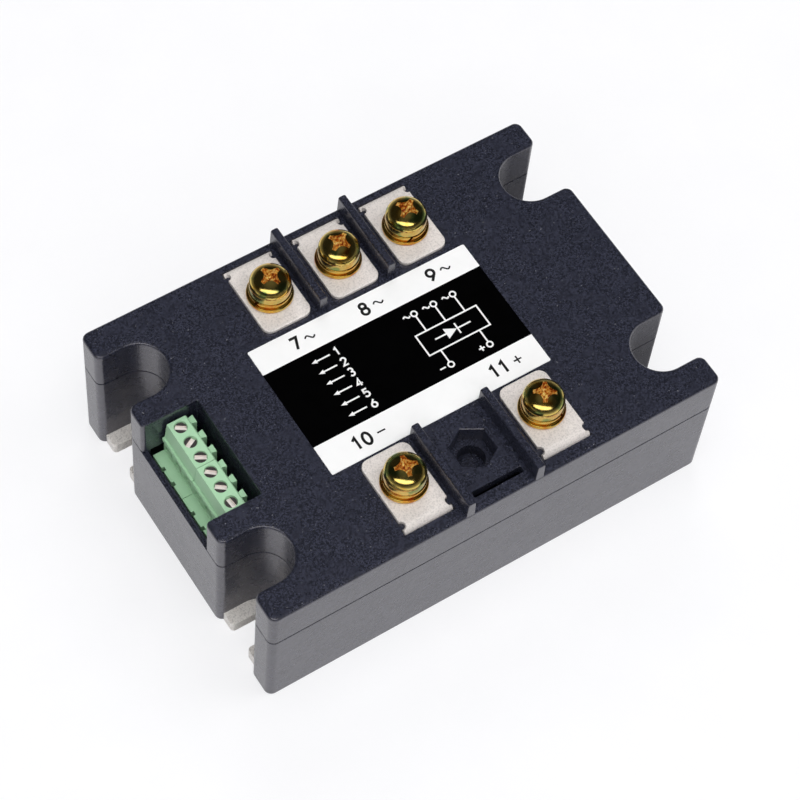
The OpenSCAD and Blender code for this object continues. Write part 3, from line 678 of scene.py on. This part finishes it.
def make_lower_housing():
    """The lower housing: walls with the seam's groove, low at the recess, and a rim at the foot."""
    solid = Solid()
    groove_z = LAND_Z - SEAM_GAP

    def ring(inset, z, foot=False, thin=None):
        """A ring at one inset, or thin at the low wall; a foot ring meets the base at the notches."""
        path = quarter(HALF_L, HALF_W, NOTCH_R, CORNER_R, inset, inset)
        front, wide = inset if thin is None else thin, RECESS_HALF + TINY
        lead = [((inset - HALF_L, wide), SIDE), ((front - HALF_L, RECESS_HALF), SIDE)]
        lead += [((front - HALF_L, -RECESS_HALF), SIDE), ((inset - HALF_L, -wide), SIDE)]
        points = []
        for (x, y), kind in whole(path, lead):
            points.append((x, y, BASE_T if foot and weigh(kind, NOTCH) > NOTCH_SHARE else z))
        return solid.ring(points)

    edge, step = SEAM_FILLET, EASE_SHARE * SEAM_FILLET
    rings = [
        ring(WALL, BASE_T), ring(RIM, BASE_T), ring(RIM, RIM_Z, True), ring(edge, RIM_Z, True),
        ring(step, RIM_Z + step), ring(0, RIM_Z + edge),
        ring(0, groove_z - edge), ring(step, groove_z - step), ring(edge, groove_z),
        ring(SEAM_DEPTH, groove_z), ring(SEAM_DEPTH, LAND_Z), ring(WALL, LAND_Z, thin=LOW_WALL),
        ring(WALL, BOARD_Z, thin=LOW_WALL), ring(WALL, BOARD_Z),
    ]
    solid.bridge(*rings, rings[0])
    solid.merge()
    dress("lower_housing_moulding", solid, PLASTIC, "housing", "housing_plastic", "lower_housing")


BASE_EDGE = 0.16
BASE_CORNER_R = 0.9


def make_base():
    """The base plate with its four open slots and rounded edges."""
    solid = Solid()

    def ring(inset, z):
        path = quarter(base_high.x, base_high.y, SLOT_R, BASE_CORNER_R, inset, inset)
        return solid.ring([(x, y, z) for (x, y), _ in whole(path)])

    profile = [(90, 0, 1), (45, 0, 1), (0, 0, 1), (0, BASE_T, -1), (45, BASE_T, -1), (90, BASE_T, -1)]
    rings = []
    for angle, face, inward in profile:
        out = BASE_EDGE * (1 - cos(radians(angle)))
        up = BASE_EDGE * (1 - sin(radians(angle)))
        rings.append(ring(out, face + inward * up))
    solid.bridge(*rings)
    solid.fill(rings[0])
    solid.fill(rings[-1])
    dress("base_plate_metal", solid, BASE, "housing", "base_metal", "base_plate")


make_lid()
make_lower_housing()
make_base()

# Busbars: a strip of sheet metal in rows along its length, bent down at the slot
BAR_L = 17.2
BAR_CORNER_R = 2.0
BAR_EDGE = 0.2
BEND_R = 0.7
RELIEF_R = 0.85
BEND_AT = BAR_L - BEND_R - BAR_T
BEND_L = (BEND_R + BAR_T / 2) * pi / 2
FOOT_W, FOOT_L = 7.0, 8.0
FOOT_CORNER_R = 0.3
BAR_CORNER_STEPS = 8
BAR_EDGE_STEPS = 3
BAR_SHARES = (0.3, 0.5, 0.7)
RELIEF_STEPS = 16
BEND_STEPS = 5


def bar_rows(leg):
    """Rows of the strip as (length along its middle, half width, inset of its section)."""
    half = BAR_W / 2
    rows = []
    for k in range(BAR_CORNER_STEPS + 1):
        a = radians(90 * k / BAR_CORNER_STEPS)
        inset = max(0.0, BAR_EDGE * (1 - k / BAR_EDGE_STEPS))
        rows.append((BAR_CORNER_R * (1 - cos(a)), half - BAR_CORNER_R * (1 - sin(a)), inset))
    rows += [(BAR_L * share, half, 0) for share in BAR_SHARES]
    for k in range(RELIEF_STEPS + 1):
        a = radians(180 * k / RELIEF_STEPS)
        rows.append((BEND_AT - RELIEF_R * cos(a), half - RELIEF_R * sin(a), 0))
    start, rest = BEND_AT + RELIEF_R, BEND_L - RELIEF_R
    rows += [(start + rest * k / BEND_STEPS, half, 0) for k in range(1, BEND_STEPS + 1)]
    end = BEND_AT + BEND_L + leg
    return rows + [(end - BAR_EDGE, half, 0), (end, half, BAR_EDGE)]


def bar_section(half, inset):
    """Section of the strip across its length: (across, up) points with round edges."""
    low, high = (-half + inset, inset), (half - inset, BAR_T - inset)
    return [(x, z) for x, z, _ in rectangle(low, high, BAR_EDGE, 0)]


def bar_point(along, t):
    """Place on the bent strip as (distance from its inner end, height), t above its underside."""
    past = along - BEND_AT
    if past <= 0:
        return along, TOP_Z + t
    a = min(past / BEND_L, 1) * pi / 2
    drop = max(past - BEND_L, 0)
    return BEND_AT + (BEND_R + t) * sin(a), TOP_Z - BEND_R + (BEND_R + t) * cos(a) - drop


def make_busbar(name, at):
    """A busbar: the bent strip, drilled for its screw, and the foot at its lower end."""
    solid = Solid()
    s = side_of(at)
    face = BAR_FACE[s]
    inner = face - s * BAR_L
    leg_end = corners(name)[0].z
    sections = []
    for along, half, inset in bar_rows(TOP_Z - BEND_R - leg_end):
        section = []
        for x, t in bar_section(half, inset):
            out, z = bar_point(along, t)
            section.append((at.x + x, inner + s * out, z))
        sections.append(section)
    solid.loft(*sections)
    drill = Solid()
    drill.loft(*[circle(at, SCREW_HOLE_R, z) for z in (TOP_Z - BAR_T, TOP_Z + 2 * BAR_T)])
    strip = Solid()
    strip.add_mesh(cut_away(solid, drill, name))
    ys = sorted((face - s * BAR_T, face - s * FOOT_L))
    low, high = (at.x - FOOT_W / 2, ys[0]), (at.x + FOOT_W / 2, ys[1])
    strip.loft(*[rectangle(low, high, FOOT_CORNER_R, z) for z in (leg_end, leg_end + BAR_T)])
    dress(name + "_strip", strip, PLATE, "housing", "busbar_metal", name)


for name, at in zip(BARS, SCREWS):
    make_busbar(name, at)

# Terminal screws and their washers
HEAD_D = 8.5
HEAD_H = 4.7
HEAD_RIM = 1.7
HEAD_EASE = 0.2
DOME_STEPS = 20
DOME_GAP = 0.06
SHANK_R = 2.5
SHANK_OVERLAP = 0.2
THREAD_DEPTH = 0.42
THREAD_PITCH = 0.8
THREAD_ROWS = 8
THREAD_STEPS = 24
POINT_H = 0.6
POINT_SLOPE = 0.6
CROSS_REACH = 2.5
CROSS_ARM = 0.45
CROSS_HOLLOW = 0.35
CROSS_STEPS = 6
# Scale of the recess's plan and its height from the crown, from its mouth to its floor
CROSS_LEVELS = ((1.12, 0.4), (1.0, -0.25), (0.62, -1.9), (0.2, -2.2))
WASHER_D = 9.6
WASHER_BORE = 5.4
WASHER_EASE = 0.32
BORE_EASE = 0.1
SPRING_D = 8.8
SPRING_EASE = 0.2
SPRING_STEPS = 56
SPLIT_GAP = 4.0
SPLIT_SLANT = 0.47
LATHE_STEPS = 72


def cross(at, scale, z, angle):
    """Plan of a cross recess whose flanks hollow towards its middle."""
    points = []
    for turn in range(4):
        a = radians(angle + 90 * turn)
        for k in range(CROSS_STEPS + 1):
            t = k / CROSS_STEPS
            first, middle, last = (1 - t) ** 2, 2 * t * (1 - t), t ** 2
            u = scale * (first * CROSS_REACH + middle * CROSS_HOLLOW + last * CROSS_ARM)
            v = scale * (first * CROSS_ARM + middle * CROSS_HOLLOW + last * CROSS_REACH)
            x = at.x + u * cos(a) - v * sin(a)
            y = at.y + u * sin(a) + v * cos(a)
            points.append((x, y, z))
    return points


def cross_tool(at, angle):
    """The cutter for a cross recess."""
    tool = Solid()
    rings = [tool.ring(cross(at, scale, at.z + HEAD_H + rise, angle)) for scale, rise in CROSS_LEVELS]
    tool.bridge(*rings)
    tool.fill(rings[0])
    tool.fill(rings[-1])
    return tool


def head_profile(z):
    """Raised head from its seat to its crown: a straight side, then a round dome."""
    r, step = HEAD_D / 2, EASE_SHARE * HEAD_EASE
    profile = [(0, z), (r - HEAD_EASE, z), (r - step, z + step), (r, z + HEAD_EASE)]
    dome = arc(0, 0, 1, 0, 90, DOME_STEPS)[:-1] + [(0, 1)]
    return profile + [(r * u, z + HEAD_RIM + (HEAD_H - HEAD_RIM) * v) for u, v in dome]


def mark_recess(solid, at):
    """Gives the second material, a brighter orange that paints the glow of light bounced inside the cross, to the
    faces that lie in the cross recess, below the dome.
    """
    for face in solid.bm.faces:
        centre = face.calc_center_median() / MM - at
        reach = min(centre.xy.length / (HEAD_D / 2), 1)
        dome_z = HEAD_RIM + (HEAD_H - HEAD_RIM) * sqrt(1 - reach ** 2)
        if HEAD_RIM < centre.z < dome_z - DOME_GAP:
            face.material_index = 1


def add_thread(solid, at, low, high):
    """A threaded shank with an eased point."""
    rings = []
    count = int((high - low) / THREAD_PITCH * THREAD_ROWS)
    for row in range(count + 1):
        z = low + (high - low) * row / count
        ease = POINT_SLOPE * max(0.0, POINT_H - (z - low))
        points = []
        for k in range(THREAD_STEPS):
            phase = (z / THREAD_PITCH - k / THREAD_STEPS) % 1
            r = SHANK_R - (THREAD_DEPTH * abs(2 * phase - 1) + ease)
            a = radians(360 * k / THREAD_STEPS)
            points.append((at.x + r * cos(a), at.y + r * sin(a), z))
        rings.append(points)
    solid.loft(*rings)


def make_screw(number, at):
    """A terminal screw: a domed head with a cross recess, and its thread."""
    node = f"terminal_screw_{number}"
    head, solid = Solid(), Solid()
    head.lathe(head_profile(at.z), at, LATHE_STEPS)
    tool = cross_tool(at, SCREW_ANGLES[number - 1])
    solid.add_mesh(cut_away(head, tool, f"screw_head_{number}"))
    mark_recess(solid, at)
    add_thread(solid, at, corners(node)[0].z, at.z + SHANK_OVERLAP)
    piece = dress(f"pan_head_screw_{number}", solid, ZINC, f"screw_{number}", "yellow_zinc", node)
    # The recess's finish paints the glow of light bounced inside the cross
    piece.data.materials.append(RECESS_GLOW_ZINC)


def make_flat_washer(number, at):
    """A plain washer with a rounded rim."""
    node = f"flat_washer_{number}"
    low, high = (v.z for v in corners(node))
    bore, ease, edge = WASHER_BORE / 2, WASHER_EASE, WASHER_D / 2 - WASHER_EASE
    inner = [(bore, low + BORE_EASE), (bore, high - BORE_EASE), (bore + BORE_EASE, high)]
    outer = [(edge + x, high - ease + y) for x, y in arc(0, 0, ease, 90, 0, EASE_STEPS)]
    outer += [(edge + x, low + ease + y) for x, y in arc(0, 0, ease, 0, -90, EASE_STEPS)]
    solid = Solid()
    solid.lathe(inner + outer + [(bore + BORE_EASE, low), inner[0]], at, LATHE_STEPS)
    solid.merge()
    dress(f"plain_washer_{number}", solid, WASHER_ZINC, f"washers_{number}", "yellow_zinc", node)


def make_spring_washer(number, at):
    """A spring washer with a slanted split."""
    node = f"spring_washer_{number}"
    low, high = (v.z for v in corners(node))
    r, bore = SPRING_D / 2, WASHER_BORE / 2
    middle_r, middle_z = (bore + r) / 2, (low + high) / 2
    sections = []
    for k in range(SPRING_STEPS + 1):
        a = SPLIT_ANGLES[number - 1] + SPLIT_GAP + (360 - 2 * SPLIT_GAP) * k / SPRING_STEPS
        points = []
        for u, v, _ in rectangle((bore, low), (r, high), SPRING_EASE, 0):
            slant = degrees((v - middle_z) * SPLIT_SLANT / middle_r)
            turn = radians(a + slant)
            points.append((at.x + u * cos(turn), at.y + u * sin(turn), v))
        sections.append(points)
    solid = Solid()
    solid.loft(*sections)
    dress(f"split_washer_{number}", solid, WASHER_ZINC, f"washers_{number}", "yellow_zinc", node)


for number, at in enumerate(SCREWS, 1):
    make_screw(number, at)
    make_flat_washer(number, at)
    make_spring_washer(number, at)

# Control terminals keep their CAD shapes, with eased edges
BLOCK_EDGE = 0.07
CLAMP_EDGE = 0.08
CAGE_EDGE = 0.06
for node in ("control_block_1", "control_block_2"):
    soften(node, BLOCK_EDGE)
for i in range(1, 7):
    soften(f"clamp_screw_{i}", CLAMP_EDGE)
    nodes[f"clamp_screw_{i}"].data.materials[0] = SLOT_STEEL
    soften(f"clamp_cage_{i}", CAGE_EDGE)

LABEL_EASE = 0.05
LABEL_CORNER_R = 0.3


def make_label():
    """The label's film, with an eased upper edge."""
    solid = Solid()
    rings = []
    for inset, z in ((0, label_low.z), (0, label_high.z - LABEL_EASE), (LABEL_EASE, label_high.z)):
        margin = Vector((inset, inset))
        rings.append(rectangle(label_low.xy + margin, label_high.xy - margin, LABEL_CORNER_R, z))
    solid.loft(*rings)
    dress("label_sheet", solid, FILM, "housing", "label_film", "label")


make_label()

# Print on the label: plain numbers for the terminals, arrows and a plain wiring sign
INK_T = 0.02
INK_STEP = 0.0004
LINE_W = 0.34
MITRE_LIMIT = 0.5
FIGURE_H = 2.1
BAND_FIGURE_H = 3.2
CONTROL_X = -10.5
CONTROL_Y = 7.6
CONTROL_PITCH = 2.75
ARROW_GAP = 1.6
ARROW_L = 4.2
ARROW_NECK = 1.0
ARROW_HEAD_L = 1.2
ARROW_HEAD_HALF = 0.5
SIGN_X = 12.0
SIGN_PITCH = 4.6
SIGN_TOP, SIGN_BOTTOM = 7.2, -6.4
SIGN_BOX = (7.2, 2.6)
SIGN_R = 0.65
RING_R = 0.62
RING_STEPS = 20
WAVE_R = 0.75
WAVE_HEIGHT = 0.4
WAVE_STEPS = 10
WAVE_GAP = 1.75
POLE_GAP = 1.9
DIODE_BACK, DIODE_TIP, DIODE_BAR = -1.6, 0.9, 1.1
DIODE_HALF = 1.3
DIODE_LEAD = 4.2
INPUT_FIGURE, INPUT_WAVE, INPUT_WAVE_R = -1.4, 1.9, 1.1
OUTPUT_FIGURE, OUTPUT_POLE, OUTPUT_POLE_R = -1.8, 2.6, 0.9

# Plain digits as strokes in a box one unit high, centred on its middle
DIGIT_STEP = 0.72
DIGIT_WEIGHT = 0.18
DIGITS = {
    "0": [[(0.58 * x, y) for x, y in arc(0, 0, 0.42, 0, 360, 24)]],
    "1": [[(-0.18, 0.24), (0.04, 0.42), (0.04, -0.42)]],
    "2": [arc(0, 0.18, 0.24, 170, -30, 8) + [(-0.24, -0.42), (0.26, -0.42)]],
    "3": [arc(-0.02, 0.2, 0.22, 150, -70, 8) + [(-0.06, 0.02)], arc(-0.02, -0.19, 0.24, 80, -150, 8)],
    "4": [[(0.1, -0.42), (0.1, 0.42), (-0.26, -0.18), (0.0, -0.18)], [(0.2, -0.18), (0.3, -0.18)]],
    "5": [[(0.22, 0.42), (-0.18, 0.42), (-0.21, 0.06)] + arc(-0.02, -0.15, 0.27, 130, -150, 9)],
    "6": [arc(0, -0.16, 0.26, 0, 360, 16), [(0.16, 0.42), (-0.22, -0.02)]],
    "7": [[(-0.24, 0.42), (0.24, 0.42), (-0.06, -0.42)]],
    "8": [arc(0, 0.22, 0.2, 0, 360, 14), arc(0, -0.18, 0.24, 0, 360, 16)],
    "9": [arc(0, 0.16, 0.26, 0, 360, 16), [(-0.16, -0.42), (0.22, 0.02)]],
}


class Print(Solid):
    """Flat ink on top of the label."""

    level = 0

    def surface(self):
        """A height for the next mark, a hair above the one before, so that no two faces coincide."""
        self.level += 1
        return label_high.z + INK_T + self.level * INK_STEP

    def slab(self, points):
        """A flat shape from its outline."""
        z = self.surface()
        self.loft([(x, y, label_high.z) for x, y in points], [(x, y, z) for x, y in points])

    def path(self, *points, width=LINE_W):
        """A ribbon of ink along a line, closed where it ends at its start."""
        dots = [Vector(p) for p in points]
        closed = (dots[0] - dots[-1]).length < TINY
        dots = dots[:-1] if closed else dots
        z, rows = self.surface(), []
        for k, dot in enumerate(dots):
            before = dot - dots[k - 1] if k or closed else dots[1] - dot
            after = dots[(k + 1) % len(dots)] - dot if k + 1 < len(dots) or closed else before
            before, after = before.normalized(), after.normalized()
            mitre = Vector((-before.y - after.y, before.x + after.x)).normalized()
            side = mitre * width / 2 / max(MITRE_LIMIT, mitre.dot(Vector((-after.y, after.x))))
            (lx, ly), (rx, ry) = dot + side, dot - side
            rows.append([(lx, ly, label_high.z), (rx, ry, label_high.z), (rx, ry, z), (lx, ly, z)])
        if closed:
            rings = [self.ring(row) for row in rows]
            self.bridge(*rings, rings[0])
        else:
            self.loft(*rows)

    def ring_sign(self, x, y):
        """The sign for a terminal."""
        self.path(*arc(x, y, RING_R, 0, 360, RING_STEPS))

    def figures(self, number, x, y, height):
        """A plain number, centred on a point."""
        digits = str(number)
        left = x - (len(digits) - 1) / 2 * DIGIT_STEP * height
        for k, digit in enumerate(digits):
            centre = left + k * DIGIT_STEP * height
            for stroke in DIGITS[digit]:
                points = [(centre + u * height, y + v * height) for u, v in stroke]
                self.path(*points, width=DIGIT_WEIGHT * height)

    def wave(self, x, y, r=WAVE_R):
        """The sign for alternating current."""
        turns = [2 * pi * k / WAVE_STEPS for k in range(WAVE_STEPS + 1)]
        self.path(*[(x + r * (a / pi - 1), y + WAVE_HEIGHT * r * sin(a)) for a in turns])

    def minus(self, x, y, r=SIGN_R):
        """The sign for the negative pole."""
        self.path((x - r, y), (x + r, y))

    def plus(self, x, y, r=SIGN_R):
        """The sign for the positive pole."""
        self.minus(x, y, r)
        self.path((x, y - r), (x, y + r))


def print_controls(ink):
    """A number and an arrow for each control terminal."""
    for i in range(6):
        y = CONTROL_Y - i * CONTROL_PITCH
        ink.figures(i + 1, CONTROL_X, y, FIGURE_H)
        tail = CONTROL_X - ARROW_GAP
        tip = tail - ARROW_L
        head = tip + ARROW_HEAD_L
        ink.path((tail, y), (tip + ARROW_NECK, y))
        ink.slab([(tip, y), (head, y - ARROW_HEAD_HALF), (head, y + ARROW_HEAD_HALF)])


def print_sign(ink):
    """A general wiring sign: a box with a diode, three inputs and two outputs."""
    half_l, half_w = SIGN_BOX
    left, right = SIGN_X - half_l, SIGN_X + half_l
    ink.path((left, -half_w), (right, -half_w), (right, half_w), (left, half_w), (left, -half_w))
    for k in (-1, 0, 1):
        x = SIGN_X + k * SIGN_PITCH
        ink.path((x, half_w), (x, SIGN_TOP - RING_R))
        ink.ring_sign(x, SIGN_TOP)
        ink.wave(x - WAVE_GAP, SIGN_TOP)
    for k in (-1, 1):
        x = SIGN_X + k * SIGN_PITCH
        ink.path((x, -half_w), (x, SIGN_BOTTOM + RING_R))
        ink.ring_sign(x, SIGN_BOTTOM)
    ink.minus(SIGN_X - SIGN_PITCH - POLE_GAP, SIGN_BOTTOM)
    ink.plus(SIGN_X + SIGN_PITCH - POLE_GAP, SIGN_BOTTOM)
    back, tip, bar = (SIGN_X + x for x in (DIODE_BACK, DIODE_TIP, DIODE_BAR))
    ink.slab([(back, -DIODE_HALF), (tip, 0), (back, DIODE_HALF)])
    ink.path((bar, -DIODE_HALF), (bar, DIODE_HALF))
    ink.path((SIGN_X - DIODE_LEAD, 0), (back, 0))
    ink.path((bar, 0), (SIGN_X + DIODE_LEAD, 0))


def print_field():
    """White print on the black field."""
    ink = Print()
    print_controls(ink)
    print_sign(ink)
    dress("label_print_white", ink, INK_WHITE, "housing", "label_film")


def print_bands():
    """Black numbers and signs on the white bands, one at each power terminal."""
    ink = Print()
    back_y, front_y = label_high.y - LABEL_BACK_BAND / 2, label_low.y + LABEL_FRONT_BAND / 2
    for number, at in zip((7, 8, 9), SCREWS):
        ink.figures(number, at.x + INPUT_FIGURE, back_y, BAND_FIGURE_H)
        ink.wave(at.x + INPUT_WAVE, back_y, INPUT_WAVE_R)
    for number, at in zip((10, 11), SCREWS[3:]):
        ink.figures(number, at.x + OUTPUT_FIGURE, front_y, BAND_FIGURE_H)
    ink.minus(SCREWS[3].x + OUTPUT_POLE, front_y, OUTPUT_POLE_R)
    ink.plus(SCREWS[4].x + OUTPUT_POLE, front_y, OUTPUT_POLE_R)
    dress("label_print_black", ink, INK_BLACK, "housing", "label_film")


print_field()
print_bands()

# Floor, light and camera
FLOOR_RINGS = (0, 60, 150, 300, 600)
FLOOR_FLAT = 1400.0
FLOOR_RISE = 250.0
FLOOR_STEPS = 96
RISE_STEPS = 16
# The floor lies a hair below the base, and a ray from the underside passes through it
FLOOR_DROP = 0.03
UNDERSIDE_REACH = 0.4
FLOOR_GLOW = 0.64
FLOOR_SEEN = 0.68
# The reach is in half sizes of the part, and the glow is full and ends at shares of it
GLOW_REACH = 8.0
# The part sees no glow under its foot, and the glow starts further out beyond the +X end: painted shadow on the
# floor
GLOW_SHADE_GAP = 10.0
GLOW_START = 0.95
GLOW_FULL = 0.35
GLOW_END = 0.75
SKY_COLOUR = (0.97, 0.98, 1.0, 1)
SKY_LIGHT = 0.07
SKY_SEEN = 0.95
SKY_BELOW = 0.8
# Strength of the sky in reflections, by the sine of its height
SKY_STOPS = ((0.0, 0.30), (0.22, 0.02), (0.80, 0.02), (1.0, 0.12))


def floor_glow(shader):
    """A glow that the camera sees all over the floor, and the part sees in a band round its own foot; the band
    leaves out the floor under the part and starts further out at the +X end, as painted shadow on the floor.
    """
    scale = 1 / (GLOW_REACH * MM)
    x_scale, y_scale = scale / (HALF_L + GLOW_SHADE_GAP), scale / HALF_W
    # The shift moves the band out beyond the +X end, as painted shadow on the floor there
    vector = shader.stretch((x_scale, y_scale, 1), shift=(-x_scale * GLOW_SHADE_GAP * MM, 0, 0))
    wide = shader.node("VectorMath", operation="ABSOLUTE", Vector=vector)
    split = shader.node("SeparateXYZ", Vector=wide.outputs[0])
    share = shader.node("Math", operation="MAXIMUM", Value=split.outputs["X"])
    shader.put(share.inputs[1], split.outputs["Y"])
    foot = 1 / GLOW_REACH
    stops = (GLOW_START * foot, 0.0), (foot, FLOOR_GLOW), (GLOW_FULL, FLOOR_GLOW), (GLOW_END, 0.0)
    near = shader.ramp(share.outputs[0], *stops)
    to_camera = shader.node("LightPath").outputs["Is Camera Ray"]
    return shader.node("Mix", Factor=to_camera, A=near, B=FLOOR_SEEN).outputs["Result"]


def see_through_back(shader):
    """Lets a view from below look through the floor at the underside, and light from below reach it."""
    length = shader.node("LightPath").outputs["Ray Length"]
    close = shader.node("Math", operation="LESS_THAN", Value=length)
    shader.put(close.inputs[1], UNDERSIDE_REACH * MM)
    back = shader.node("NewGeometry").outputs["Backfacing"]
    either = shader.node("Math", operation="MAXIMUM", Value=back)
    shader.put(either.inputs[1], close.outputs[0])
    choice = shader.node("MixShader", Fac=either.outputs[0])
    shader.put(choice.inputs[1], shader.surface.outputs[0])
    shader.put(choice.inputs[2], shader.node("BsdfTransparent").outputs[0])
    shader.put(shader.tree.nodes["Material Output"].inputs["Surface"], choice.outputs[0])


def make_floor():
    """A white sweep: flat under the part, rising all round at a distance."""
    solid = Solid()
    profile = [(r, -FLOOR_DROP) for r in FLOOR_RINGS]
    profile += arc(FLOOR_FLAT, FLOOR_RISE - FLOOR_DROP, FLOOR_RISE, -90, -10, RISE_STEPS)
    solid.lathe(profile, Vector((0, 0, 0)), FLOOR_STEPS)
    mesh = solid.mesh("floor", sharp=60)
    mesh.flip_normals()
    piece = link("floor", mesh)
    shader = Shader("floor_paper", Roughness=0.9, Specular_IOR_Level=0.0)
    shader.feed(Base_Color=shader.mix(shader.noise(14), (0.30, 0.30, 0.31), (0.33, 0.33, 0.34)))
    shader.bump(shader.noise(3, 4), 0.05)
    shader.feed(Emission_Color=(0.99, 0.99, 1.0, 1), Emission_Strength=floor_glow(shader))
    see_through_back(shader)
    piece.data.materials.append(shader.material)


def area_light(name, at, size, watts, mirrored=False):
    """A soft lamp aimed at the part, in metres and watts; only a mirrored one shows in reflections."""
    data = bpy.data.lights.new(name, "AREA")
    data.shape = "ELLIPSE"
    data.size, data.size_y = size
    data.energy = watts
    lamp = link(name, data)
    lamp.visible_glossy = mirrored
    lamp.location = at
    lamp.rotation_euler = (Vector((0, 0, 0)) - Vector(at)).to_track_quat("-Z", "Y").to_euler()


def make_sky():
    """A dim sky that the camera sees pale, with its own strengths in reflections and below the floor."""
    world = bpy.data.worlds.new("studio")
    world.use_nodes = True
    sky = Nodes(world.node_tree)
    rays = sky.node("LightPath")
    way = sky.node("TexCoord").outputs["Generated"]
    height = sky.node("SeparateXYZ", Vector=way).outputs["Z"]
    rise = sky.node("ValToRGB", Fac=height)
    set_stops(rise, *SKY_STOPS)
    under = sky.node("Math", operation="LESS_THAN", Value=height)
    sky.put(under.inputs[1], 0.0)
    strength = SKY_LIGHT
    for factor, value in (
        (rays.outputs["Is Glossy Ray"], rise.outputs["Color"]),
        (under.outputs[0], SKY_BELOW),
        (rays.outputs["Is Camera Ray"], SKY_SEEN),
    ):
        strength = sky.node("Mix", Factor=factor, A=strength, B=value).outputs["Result"]
    light = sky.tree.nodes["Background"]
    sky.put(light.inputs["Color"], SKY_COLOUR)
    sky.put(light.inputs["Strength"], strength)
    bpy.context.scene.world = world


make_floor()
make_sky()
area_light("key", (-0.10, -0.12, 1.20), (0.9, 0.9), 7.9)
area_light("fill", (0.80, -0.40, 1.10), (0.8, 0.8), 4.6)
area_light("back", (0.50, 0.90, 1.00), (0.8, 0.8), 4.2)
area_light("strip", (-0.48, -0.60, 0.64), (1.8, 0.40), 4.0, True)

# The camera was fitted to the photo
CAMERA_AT = Vector((-171.61, -215.53, 485.32))
CAMERA_RIGHT = Vector((0.841099, -0.537283, 0.062282))
CAMERA_UP = Vector((0.438441, 0.744695, 0.503190))
CAMERA_BACK = Vector((-0.316737, -0.395925, 0.861929))
CAMERA_SENSOR = 36
CAMERA_LENS = 120.57
CAMERA_NEAR = 10.0
camera_data = bpy.data.cameras.new("camera")
camera_data.sensor_width = CAMERA_SENSOR
camera_data.lens = CAMERA_LENS
camera_data.clip_start = CAMERA_NEAR * MM
camera = link("camera", camera_data)
turn = Matrix((CAMERA_RIGHT, CAMERA_UP, CAMERA_BACK)).transposed()
camera.matrix_world = Matrix.Translation(CAMERA_AT * MM) @ turn.to_4x4()
bpy.context.scene.camera = camera
bpy.context.scene.view_settings.view_transform = "Standard"
